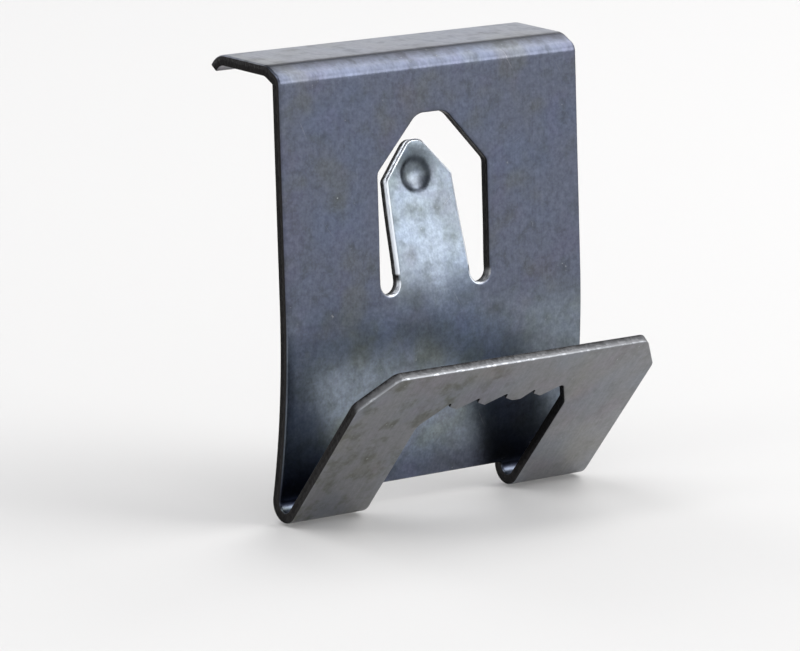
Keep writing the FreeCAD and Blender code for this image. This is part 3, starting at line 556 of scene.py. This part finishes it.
def painted_shade_at(across, up):
    """Painted shade: dark reflections in the throats of the U-bends, a dark line along the crease and shade
    down the left rim.
    """
    outer = fade(abs(across - THROATS_MIDDLE), *OUTER_THROATS) * fade(from_bend(up), *OUTER_THROATS_DEPTH)
    right = fade(across, *RIGHT_THROAT_LEFT) * fade(across, *RIGHT_THROAT_RIGHT)
    right *= fade(from_bend(up), *RIGHT_THROAT_DEPTH)
    throat = max(outer, right) * fade(from_bend(up), *THROAT_BOTTOM)
    crease = near(up, *CREASE_LINE)
    left_rim = fade(across, *LEFT_RIM) * fade(up, *LEFT_RIM_DOWN)
    return max(throat, CREASE_SHADE * crease, LEFT_RIM_SHADE * left_rim)


def painted_light_on_plate(across, up):
    """Painted light: paler stretches of the plate's front where it would catch more light, two on the bow,
    one under the root and one down the left.
    """
    left_bow = fade(across, *LEFT_BOW_SIDE) * fade(up, *LEFT_BOW_FOOT) * fade(up, *LEFT_BOW_TOP)
    middle_bow = bow_sheen(up) * fade(across, *MIDDLE_BOW_SIDE)
    root_streak = near(across, *ROOT_STREAK_WIDTH) * near(up, *ROOT_STREAK_HEIGHT)
    left_streak = fade(across, *LEFT_STREAK_SIDE) * near(up, *LEFT_STREAK_HEIGHT)
    return max(LEFT_BOW_LIGHT * left_bow, MIDDLE_BOW_LIGHT * middle_bow, ROOT_STREAK_LIGHT * root_streak,
               LEFT_STREAK_LIGHT * left_streak)


def painted_light_on_flap(across, up):
    """Painted light: the right leg of the flap is painted a little paler."""
    return RIGHT_LEG_LIGHT * fade(across, *RIGHT_LEG_SIDE) * fade(up, *RIGHT_LEG_UP)


def dimple_ring_shade(across, up):
    """Painted shade: the dark ring just inside the dimple's rim, widest at the upper right."""
    beside, above = across - DIMPLE_ACROSS, up - DIMPLE_UP
    swell = max(0.0, RING_TOWARDS[0] * beside + RING_TOWARDS[1] * above)
    away = math.hypot(beside, above)
    return near(away, DIMPLE_RADIUS - RING_INSET, RING_REACH + RING_SWELL * swell, RING_CORE)


def mark_surface(bm):
    """Notes on each vertex where it lies on the flat blank and what has happened to it there, with the
    painted light and shade.
    """
    place = bm.verts.layers.float_vector.new("flat_place")
    notes = {name: bm.verts.layers.float.new(name) for name in NOTES}
    for vert in bm.verts:
        across, through, up = vert.co
        front = float(through < 0)
        roll = FRONT_ROLL[1] if front else BACK_ROLL[1]
        folded = fade(up, *FOLDED_OVER)
        shares = {
            "rolled": min(1.0, (HALF_THICKNESS - abs(through)) / roll),
            "outer": 0.5 - (1 - 2 * folded) * through / THICKNESS,
            "dull": float(through > 0),
            "thin_bluing_and_sheen": thin_bluing_and_sheen_at(across, up) * front,
            "worn": wear(across, up),
            "painted_shade": painted_shade_at(across, up) * front * (1 - folded),
            "painted_light": max(painted_light_on_flap(across, up) * folded, painted_light_on_plate(across, up) * front),
            "painted_ring_shade": dimple_ring_shade(across, up) * float(up > TONGUE_ROOT),
        }
        vert[place] = vert.co
        for name, share in shares.items():
            vert[notes[name]] = share


# ------------------------------------------------------------------ parting the sheet into its members


def bent_sheet():
    """The whole hanger as one mesh, with its shading noted on each vertex."""
    bm = cut_blank()
    score_blank(bm)
    mark_surface(bm)
    bend_blank(bm)
    bm.normal_update()
    shading = bm.verts.layers.float_vector.new("shading")
    for vert in bm.verts:
        vert[shading] = vert.normal
    mesh = bpy.data.meshes.new("bent_sheet")
    bm.to_mesh(mesh)
    bm.free()
    return mesh


def member_at(across, up, tongue):
    """Name of the member that a place on the flat blank belongs to."""
    if up > 0:
        return "top_lip"
    if tongue:
        return "spring_tongue"
    if up > FOOT:
        return "back_plate"
    if up > FLAP_START:
        return "left_bend" if across < 0 else "right_bend"
    return "saw_flap"


def part_member(sheet, name):
    """One member of the bent sheet, closed where it was parted from its neighbours.

    It keeps the whole sheet's shading across each parting, so no line shows there.
    """
    bm = bmesh.new()
    bm.from_mesh(sheet)
    flat = bm.verts.layers.float["flat_height"]
    tongue = bm.verts.layers.float["in_tongue"]
    others = []
    for face in bm.faces:
        up = sum(vert[flat] for vert in face.verts) / len(face.verts)
        is_tongue = max(vert[tongue] for vert in face.verts) > 0.5
        if member_at(face.calc_center_median().x, up, is_tongue) != name:
            others.append(face)
    bmesh.ops.delete(bm, geom=others, context="FACES")
    parted = [edge for edge in bm.edges if edge.is_boundary]
    caps = bmesh.ops.holes_fill(bm, edges=parted, sides=0)["faces"]
    for face in bm.faces:
        face.smooth = True
    for edge in parted:
        edge.smooth = False
    for edge in bm.edges:
        edge.seam = False
    shading = bm.verts.layers.float_vector["shading"]
    normals = []
    for face in bm.faces:
        normals += [face.normal.copy() if face in caps else vert[shading].normalized() for vert in face.verts]
    mesh = bpy.data.meshes.new(name)
    bm.to_mesh(mesh)
    bm.free()
    mesh.normals_split_custom_set(normals)
    mesh.attributes.remove(mesh.attributes["shading"])
    return mesh


# ------------------------------------------------------------------ shader nodes


def new_group(name, inputs, outputs):
    """An empty shader node group. inputs and outputs are (name, socket kind, start value)."""
    group = bpy.data.node_groups.new(name, "ShaderNodeTree")
    for direction, sockets in (("INPUT", inputs), ("OUTPUT", outputs)):
        for label, kind, value in sockets:
            socket = group.interface.new_socket(name=label, in_out=direction, socket_type=f"NodeSocket{kind}")
            if value is not None:
                socket.default_value = value
    return group, group.nodes.new("NodeGroupInput"), group.nodes.new("NodeGroupOutput")


def add_node(tree, kind, settings=None, **inputs):
    """A node with its settings, and its inputs either linked from a socket or set to a value.

    An input is given by its name, or by _ and its number.
    """
    node = tree.nodes.new(f"ShaderNode{kind}")
    for name, value in (settings or {}).items():
        setattr(node, name, value)
    for name, value in inputs.items():
        socket = node.inputs[int(name[1:])] if name[0] == "_" else node.inputs[name]
        if isinstance(value, bpy.types.NodeSocket):
            tree.links.new(value, socket)
        else:
            socket.default_value = value
    return node


def math_node(tree, operation, first, second=0.0, third=0.0):
    return add_node(tree, "Math", {"operation": operation}, _0=first, _1=second, _2=third).outputs[0]


def times(tree, first, second):
    return math_node(tree, "MULTIPLY", first, second)


def linear(tree, value, slope, start):
    """slope times value, plus start."""
    return math_node(tree, "MULTIPLY_ADD", value, slope, start)


def remap(tree, value, low, high, to_low=0.0, to_high=1.0):
    """Maps low..high to to_low..to_high with an easy slope, and holds the ends."""
    settings = {"interpolation_type": "SMOOTHSTEP"}
    return add_node(tree, "MapRange", settings, _0=value, _1=low, _2=high, _3=to_low, _4=to_high).outputs[0]


def mix_colour(tree, share, first, second, blend="MIX"):
    """The first colour with a share of the second mixed or multiplied into it."""
    settings = {"data_type": "RGBA", "blend_type": blend}
    return add_node(tree, "Mix", settings, _0=share, _6=first, _7=second).outputs[2]


def use_group(tree, group, **inputs):
    """The output of a node group, placed with its own values."""
    return add_node(tree, "Group", {"node_tree": group}, **inputs).outputs[0]


def patches_group():
    """Soft uneven patches, such as temper colours and handling marks."""
    group, given, out = new_group(
        "patches",
        [("Place", "Vector", None), ("Size", "Float", 3.0), ("Detail", "Float", 3.0),
         ("Low", "Float", 0.4), ("High", "Float", 0.6)],
        [("Mask", "Float", None)])
    frequency = math_node(group, "DIVIDE", 1.0, given.outputs["Size"])
    cloud = add_node(group, "TexNoise", None, Vector=given.outputs["Place"], Scale=frequency,
                     Detail=given.outputs["Detail"], Roughness=0.55).outputs[0]
    mask = remap(group, cloud, given.outputs["Low"], given.outputs["High"])
    group.links.new(mask, out.inputs[0])
    return group


def rolled_grain_group():
    """Fine lines that the rolling mill leaves along the strip."""
    group, given, out = new_group(
        "rolled_grain",
        [("Place", "Vector", None), ("Across", "Float", 0.05), ("Along", "Float", 2.5)],
        [("Lines", "Float", None)])
    split = add_node(group, "SeparateXYZ", None, _0=given.outputs["Place"])
    across = math_node(group, "DIVIDE", split.outputs[0], given.outputs["Across"])
    through = math_node(group, "DIVIDE", split.outputs[1], given.outputs["Along"])
    up = math_node(group, "DIVIDE", split.outputs[2], given.outputs["Along"])
    place = add_node(group, "CombineXYZ", None, _0=across, _1=through, _2=up).outputs[0]
    lines = add_node(group, "TexNoise", None, Vector=place, Scale=1.0, Detail=2.0, Roughness=0.6).outputs[0]
    group.links.new(lines, out.inputs[0])
    return group


def scratches_group():
    """Thin stray scratches in one direction, one to a lane, each broken up into short lengths."""
    group, given, out = new_group(
        "scratches",
        [("Place", "Vector", None), ("Turn", "Float", 0.6), ("Spacing", "Float", 2.4),
         ("Width", "Float", 0.03), ("Amount", "Float", 0.5)],
        [("Mask", "Float", None)])
    bend_scale, bend_reach = 0.12, 3.0
    lane_margin, lane_room = 0.1, 0.8
    run_scale, run_step, run_full = 0.28, 7.31, 0.9
    turn = add_node(group, "VectorRotate", {"rotation_type": "Y_AXIS"}, Vector=given.outputs["Place"],
                    Angle=given.outputs["Turn"]).outputs[0]
    bow = add_node(group, "TexNoise", None, Vector=turn, Scale=bend_scale, Detail=1.0).outputs[0]
    split = add_node(group, "SeparateXYZ", None, _0=turn)
    lane = math_node(group, "DIVIDE", linear(group, bow, bend_reach, split.outputs[0]),
                     given.outputs["Spacing"])
    number = math_node(group, "FLOOR", lane)
    jitter = add_node(group, "TexWhiteNoise", {"noise_dimensions": "1D"}, W=number).outputs[0]
    centre = linear(group, jitter, lane_room, lane_margin)
    off_centre = math_node(group, "SUBTRACT", math_node(group, "FRACT", lane), centre)
    distance = times(group, math_node(group, "ABSOLUTE", off_centre), given.outputs["Spacing"])
    line = remap(group, distance, given.outputs["Width"], 0.0)
    along = linear(group, number, run_step, times(group, split.outputs[2], run_scale))
    run = add_node(group, "TexNoise", {"noise_dimensions": "1D"}, W=along, Scale=1.0, Detail=1.0).outputs[0]
    threshold = math_node(group, "SUBTRACT", 1.0, times(group, given.outputs["Amount"], 0.5))
    present = remap(group, run, threshold, run_full)
    group.links.new(times(group, line, present), out.inputs[0])
    return group


# ------------------------------------------------------------------ the steel

# Colours of the steel, and of what lies over it with the share that shows.
BLUED_FRONT = (0.138, 0.155, 0.208, 1)
DULL_BACK = (0.258, 0.262, 0.274, 1)
# Thin bluing, partly a painted sheen where the metal would catch the light.
THIN_BLUING_AND_SHEEN = (0.200, 0.235, 0.282, 1)
SCRATCH_COLOUR, SCRATCH_SHARE = (0.42, 0.43, 0.45, 1), 0.35
NICK_COLOUR, NICK_SHARE = (0.50, 0.51, 0.53, 1), 0.5
# The cut walls are near black: partly their own dark fracture, partly painted shade.
SHADED_CUT_WALL = (0.021, 0.020, 0.020, 1)
SHADED_TORN_WALL = (0.014, 0.013, 0.013, 1)
DUSTY_RIM = (0.120, 0.121, 0.126, 1)
BRIGHT_SPECK = (0.84, 0.87, 0.92, 1)
POLISHED_RIM = (0.80, 0.84, 0.90, 1)

# Uneven patches: where in the cloud each is taken from, its size in millimetres, its detail, and the
# brightness of the cloud where it starts to show and where it is full.
PATCHES = {
    "olive": ((0, 0, 0), 4.5, 2.0, 0.50, 0.68),
    "violet": ((31, 7, 19), 3.4, 2.0, 0.50, 0.66),
    "cool": ((-17, 3, 40), 5.0, 1.0, 0.48, 0.70),
    "stain": ((5, 60, 2), 1.3, 6.0, 0.46, 0.74),
    "speckle": ((0, 0, 0), 0.42, 3.0, 0.25, 0.75),
    "grit": ((2, 4, 9), 0.17, 1.0, 0.25, 0.75),
    "clouds": ((12, 2, 9), 2.6, 2.0, 0.42, 0.62),
    "nicks": ((0, 9, 4), 0.28, 1.0, 0.66, 0.76),
    "chatter": ((0, 0, 0), 0.34, 2.0, 0.36, 0.64),
    "stretches": ((8, 1, 5), 1.3, 1.0, 0.38, 0.60),
}

GRAIN = {"Across": 0.16, "Along": 3.5}
SCRATCHES = [
    {"Turn": 0.55, "Spacing": 2.6, "Width": 0.035, "Amount": 0.62},
    {"Turn": -0.95, "Spacing": 3.7, "Width": 0.03, "Amount": 0.55},
]

# What tints the steel, from first to last: how strongly, and the colour that it multiplies by.
TINTS = {
    # Painted light: the paler stretches are multiplied brighter.
    "painted_light": (1.0, (1.55, 1.55, 1.55, 1)),
    "olive": (0.55, (1.02, 0.97, 0.72, 1)),
    "violet": (0.30, (1.03, 0.90, 1.0, 1)),
    "cool": (0.35, (0.92, 1.03, 1.18, 1)),
    "stain": (0.60, (0.64, 0.64, 0.54, 1)),
    "clouds": (0.60, (0.66, 0.66, 0.60, 1)),
    "speckle": (0.90, (0.73, 0.72, 0.74, 1)),
    "grit": (0.70, (0.76, 0.76, 0.73, 1)),
    # Painted shade in the dimple's ring.
    "painted_ring_shade": (0.80, (0.28, 0.29, 0.31, 1)),
    # Painted shade in the throats, along the crease and down the left rim.
    "painted_shade": (0.85, (0.22, 0.22, 0.23, 1)),
    "grain": (0.14, (0.60, 0.60, 0.62, 1)),
}

# How the dull side and the thin bluing with its painted sheen change some tints, and how stains grow
# towards the flap's left: (slope, start) of the change.
OLIVE_ON_DULL = (-0.6, 1.0)
SPECKLE_ON_DULL = (-0.5, 1.0)
GRAIN_ON_SHEEN = (-0.6, 1.0)
STAIN_TO_LEFT = (1.5, -0.6)

# Where these start and where they are full: leftwards on the flap, lines of the grain, and nicks in a stain.
LEFTWARDS = (5.0, -5.0)
GRAIN_LINES = (0.38, 0.62)
NICKS_IN_STAIN = (0.55, 0.9)

# The edges, by how far round the rolled edge a place is, and how near the side that is seen from the front.
SHEARED_FROM = (0.30, 0.85)
TORN_FROM, CHATTER_REACH = (0.72, 0.55), 0.14
RIM_FROM = (0.02, 0.40)
DUST_FROM, DUST_ON_SHEEN = (0.12, 0.62), -0.5
SPECKS_OUTWARDS, SPECKS_RANGE, SPECKS_SHARE = (0.70, 0.95), (0.35, 1.0), (0.55, 0.28)
SPECKS_FADE_RIGHT = (9.0, -1.0, 0.45, 1.0)
POLISH_FROM, POLISH_OUTWARDS = (0.03, 0.09), (0.50, 0.66)

# Roughness of the smooth steel, what adds to it, and what stands up from the surface or is cut into it.
SMOOTH = 0.27
ROUGHNESS = {"dull": 0.12, "grain": 0.08, "stain": 0.08, "scratched": -0.06, "torn_wall": 0.25}
RELIEF = {"grain": 0.6, "speckle": 0.5, "scratched": -0.8, "wall_chatter": 3.0}
RELIEF_STRENGTH, RELIEF_DEPTH = 0.5, 0.00001


def attribute(tree, name, output):
    return add_node(tree, "Attribute", {"attribute_name": name}).outputs[output]


def surface_masks(tree, place):
    """All that the steel reads, by name: the notes on the blank, and the uneven patterns over it."""
    masks = {name: attribute(tree, name, "Fac") for name in NOTES}
    patches, grain, scratches = patches_group(), rolled_grain_group(), scratches_group()
    for name, (offset, size, detail, low, high) in PATCHES.items():
        moved = add_node(tree, "VectorMath", {"operation": "ADD"}, _0=place, _1=offset).outputs[0]
        masks[name] = use_group(tree, patches, Place=moved, Size=size, Detail=detail, Low=low, High=high)
    masks["grain"] = use_group(tree, grain, Place=place, **GRAIN)
    first, second = (use_group(tree, scratches, Place=place, **settings) for settings in SCRATCHES)
    masks["scratched"] = math_node(tree, "MAXIMUM", first, second)
    masks["ragged"] = linear(tree, masks["chatter"], CHATTER_REACH, masks["outer"])
    masks["sheared"] = remap(tree, masks["rolled"], *SHEARED_FROM)
    masks["torn"] = remap(tree, masks["ragged"], *TORN_FROM)
    masks["torn_wall"] = times(tree, masks["sheared"], masks["torn"])
    masks["wall_chatter"] = times(tree, masks["chatter"], masks["sheared"])
    return masks


def face_colour(tree, masks, across, up):
    """The faces: bluing, the dull side and thin bluing with a painted sheen, then all that tints them,
    painted light and shade among it, and scratches and nicks.
    """
    dull, thin_bluing_and_sheen = masks["dull"], masks["thin_bluing_and_sheen"]
    to_left = times(tree, remap(tree, across, *LEFTWARDS), remap(tree, up, FOOT, FLAP_START))
    more_stain = times(tree, dull, linear(tree, to_left, *STAIN_TO_LEFT))
    less_speckle = linear(tree, dull, *SPECKLE_ON_DULL)
    drawn = remap(tree, masks["grain"], *GRAIN_LINES)
    shares = dict(masks)
    shares["olive"] = times(tree, masks["olive"], linear(tree, dull, *OLIVE_ON_DULL))
    shares["stain"] = times(tree, masks["stain"], math_node(tree, "ADD", 1.0, more_stain))
    shares["clouds"] = times(tree, masks["clouds"], thin_bluing_and_sheen)
    shares["speckle"] = times(tree, masks["speckle"], less_speckle)
    shares["grit"] = times(tree, masks["grit"], less_speckle)
    shares["grain"] = times(tree, drawn, linear(tree, thin_bluing_and_sheen, *GRAIN_ON_SHEEN))

    colour = mix_colour(tree, dull, BLUED_FRONT, DULL_BACK)
    # Thin bluing, with a painted sheen on the tongue and the bow and a painted highlight in the U-bends.
    colour = mix_colour(tree, thin_bluing_and_sheen, colour, THIN_BLUING_AND_SHEEN)
    for name, (strength, tint) in TINTS.items():
        colour = mix_colour(tree, times(tree, shares[name], strength), colour, tint, "MULTIPLY")
    colour = mix_colour(tree, times(tree, masks["scratched"], SCRATCH_SHARE), colour, SCRATCH_COLOUR)
    nicked = times(tree, masks["nicks"], remap(tree, masks["stain"], *NICKS_IN_STAIN))
    return mix_colour(tree, times(tree, nicked, NICK_SHARE), colour, NICK_COLOUR)


def edge_colour(tree, masks, across, faces):
    """The edges over the colour of the faces: near-black walls that are partly painted shade, a dusty rim
    with bright specks, polished rims.
    """
    rolled, outer, worn, thin_bluing_and_sheen = (masks[name] for name in ("rolled", "outer", "worn", "thin_bluing_and_sheen"))
    # Near-black walls, partly painted shade.
    shaded_wall = mix_colour(tree, masks["torn"], SHADED_CUT_WALL, SHADED_TORN_WALL)
    colour = mix_colour(tree, masks["sheared"], faces, shaded_wall)

    rim = times(tree, remap(tree, rolled, *RIM_FROM), worn)
    dusty = times(tree, rim, remap(tree, linear(tree, thin_bluing_and_sheen, DUST_ON_SHEEN, masks["ragged"]), *DUST_FROM))
    colour = mix_colour(tree, dusty, colour, DUSTY_RIM)

    chips = times(tree, remap(tree, masks["chatter"], *SPECKS_RANGE), masks["stretches"])
    specks = times(tree, remap(tree, outer, *SPECKS_OUTWARDS), linear(tree, chips, *SPECKS_SHARE))
    specks = times(tree, specks, remap(tree, across, *SPECKS_FADE_RIGHT))
    colour = mix_colour(tree, times(tree, rim, specks), colour, BRIGHT_SPECK)

    polished = times(tree, remap(tree, rolled, *POLISH_FROM), remap(tree, outer, *POLISH_OUTWARDS))
    polished = times(tree, polished, times(tree, worn, thin_bluing_and_sheen))
    return mix_colour(tree, polished, colour, POLISHED_RIM)


def sum_of(tree, masks, shares, start):
    """start plus each named mask times its share."""
    total = start
    for name, share in shares.items():
        total = linear(tree, masks[name], share, total)
    return total


def spring_steel():
    """Blued spring steel: temper colours, stains, rolling grain, stray scratches and sheared edges."""
    material = bpy.data.materials.new("spring_steel")
    material.use_nodes = True
    tree = material.node_tree
    tree.nodes.clear()
    place = attribute(tree, "flat_place", "Vector")
    across, _, up = add_node(tree, "SeparateXYZ", None, _0=place).outputs
    masks = surface_masks(tree, place)
    colour = edge_colour(tree, masks, across, face_colour(tree, masks, across, up))
    roughness = sum_of(tree, masks, ROUGHNESS, SMOOTH)
    height = sum_of(tree, masks, RELIEF, 0.0)
    bump = add_node(tree, "Bump", None, Strength=RELIEF_STRENGTH, Distance=RELIEF_DEPTH, Height=height)

    shader = add_node(tree, "BsdfPrincipled")
    shader.inputs["Metallic"].default_value = 1.0
    tree.links.new(colour, shader.inputs["Base Color"])
    tree.links.new(roughness, shader.inputs["Roughness"])
    tree.links.new(bump.outputs[0], shader.inputs["Normal"])
    out = add_node(tree, "OutputMaterial")
    tree.links.new(shader.outputs[0], out.inputs[0])
    return material


# ------------------------------------------------------------------ making the pieces

RIDES_ON = {
    "top_lip": "hanger",
    "back_plate": "hanger",
    "left_bend": "hanger",
    "right_bend": "hanger",
    "spring_tongue": "tongue",
    "saw_flap": "flap",
}

# Each spring member: its lean from upright, in degrees, and how far up it its flexing runs.
FLEX = {
    "tongue": (UPPER_LEAN + TONGUE_SET, 2.4),
    "flap": (-FLAP_LEAN, 3.6),
}


def flexing_run(body):
    """The two points, in metres, between which a spring member flexes: its joint and a point up it."""
    joint = next(joint for joint in frame["joints"] if joint["child"] == body)
    lean, reach = FLEX[body]
    up_it = Vector((0, math.sin(math.radians(lean)), math.cos(math.radians(lean))))
    foot = Vector(joint["pos_m"])
    return foot, foot + up_it * reach * MM


sheet = bent_sheet()
steel = spring_steel()
for member, body in RIDES_ON.items():
    mesh = part_member(sheet, member)
    mesh.materials.append(steel)
    piece = bpy.data.objects.new(f"{member}_steel", mesh)
    bpy.context.scene.collection.objects.link(piece)
    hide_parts(member)
    if body == "hanger":
        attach(piece, body)
    else:
        start, end = flexing_run(body)
        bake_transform(piece, "hanger", body, start=start, end=end)
bpy.data.meshes.remove(sheet)

# ------------------------------------------------------------------ floor, light and camera

FLOOR_HALF, FLOOR_GAP = 3.0, 0.0002
FLOOR_COLOUR, FLOOR_ROUGHNESS = (0.71, 0.70, 0.685, 1), 0.85

# Soft boxes: direction from the hanger, distance, width, height, and brightness of the face.
SOFT_BOXES = {
    "front_box": ((0.60, -0.75, 0.37), 0.60, 0.34, 0.24, 2.65),
    "top_box": ((0.40, -0.07, 0.48), 0.625, 0.86, 0.30, 2.9),
    "fill_box": ((-0.20, -0.05, 0.60), 0.65, 0.45, 0.45, 1.5),
    "back_box": ((-0.05, 0.77, 0.63), 0.60, 0.20, 0.20, 2.4),
    "left_box": ((-0.73, 0.07, 0.68), 0.60, 0.16, 0.16, 2.2),
}
HANGER_MIDDLE = Vector((0, -0.004, -0.012))
WATTS_PER_AREA = 4

# The surround, by height from 0 at the horizon to 1 overhead.
LOW_SURROUND, HORIZON_GLOW, OVERHEAD = (0.80, 0.83, 0.88, 1), (1.75, 1.75, 1.75, 1), (0.26, 0.27, 0.30, 1)
GLOW_FROM, OVERHEAD_FROM = (0.10, 0.22), (0.30, 0.48)

IMAGE_WIDTH, IMAGE_HEIGHT = 800, 651


def make_floor():
    """A plain pale floor just under the hanger."""
    bm = bmesh.new()
    bmesh.ops.create_grid(bm, x_segments=1, y_segments=1, size=FLOOR_HALF)
    bmesh.ops.translate(bm, verts=bm.verts[:], vec=(0, 0, cad_box[0][2] - FLOOR_GAP))
    mesh = bpy.data.meshes.new("floor")
    bm.to_mesh(mesh)
    bm.free()
    material = bpy.data.materials.new("pale_floor")
    material.use_nodes = True
    shader = material.node_tree.nodes["Principled BSDF"]
    shader.inputs["Base Color"].default_value = FLOOR_COLOUR
    shader.inputs["Roughness"].default_value = FLOOR_ROUGHNESS
    mesh.materials.append(material)
    floor = bpy.data.objects.new("floor", mesh)
    bpy.context.scene.collection.objects.link(floor)
    return floor


def soft_box(name, towards, distance, width, height, brightness):
    """A soft box that faces the hanger from a direction."""
    lamp = bpy.data.lights.new(name, "AREA")
    lamp.shape = "RECTANGLE"
    lamp.size, lamp.size_y = width, height
    lamp.energy = WATTS_PER_AREA * width * height * brightness
    holder = bpy.data.objects.new(name, lamp)
    direction = Vector(towards).normalized()
    holder.location = HANGER_MIDDLE + direction * distance
    holder.rotation_euler = direction.to_track_quat("Z", "Y").to_euler()
    bpy.context.scene.collection.objects.link(holder)


def studio_world():
    """A pale surround, brightest a little above the horizon and darker overhead."""
    world = bpy.data.worlds.new("studio")
    world.use_nodes = True
    tree = world.node_tree
    direction = add_node(tree, "TexCoord").outputs["Generated"]
    height = add_node(tree, "SeparateXYZ", None, _0=direction).outputs[2]
    colour = mix_colour(tree, remap(tree, height, *GLOW_FROM), LOW_SURROUND, HORIZON_GLOW)
    colour = mix_colour(tree, remap(tree, height, *OVERHEAD_FROM), colour, OVERHEAD)
    tree.links.new(colour, tree.nodes["Background"].inputs["Color"])
    bpy.context.scene.world = world


def place_camera():
    """The camera stands where the photograph's perspective puts it: turned, raised and rolled a little.

    One mark on the hanger, at the middle of the plate's foot, is put on its pixel in the photograph.
    """
    turn, rise, roll = math.radians(-38.0), math.radians(12.61), math.radians(0.99)
    focal_pixels, distance = 5322.0, 0.36428
    image_middle = Vector((IMAGE_WIDTH / 2, IMAGE_HEIGHT / 2))
    mark_pixel = Vector((423.2, 489.4))
    mark = Vector((0.0, -0.003946, -0.02962))
    back = Vector((math.sin(turn) * math.cos(rise), -math.cos(turn) * math.cos(rise), math.sin(rise)))
    level = Vector((math.cos(turn), math.sin(turn), 0))
    upright = back.cross(level)
    right = math.cos(roll) * level + math.sin(roll) * upright
    up = math.cos(roll) * upright - math.sin(roll) * level
    off_middle = (mark_pixel - image_middle) * distance / focal_pixels
    spot = mark + back * distance - right * off_middle.x + up * off_middle.y
    lens = bpy.data.cameras.new("camera")
    lens.sensor_width = 36.0
    lens.lens = focal_pixels * lens.sensor_width / IMAGE_WIDTH
    lens.clip_start, lens.clip_end = 0.01, 20
    camera = bpy.data.objects.new("camera", lens)
    camera.matrix_world = Matrix((
        (right.x, up.x, back.x, spot.x),
        (right.y, up.y, back.y, spot.y),
        (right.z, up.z, back.z, spot.z),
        (0, 0, 0, 1)))
    bpy.context.scene.collection.objects.link(camera)
    bpy.context.scene.camera = camera


floor = make_floor()
for name, settings in SOFT_BOXES.items():
    soft_box(name, *settings)
studio_world()
bpy.context.scene.view_settings.view_transform = "Standard"
place_camera()
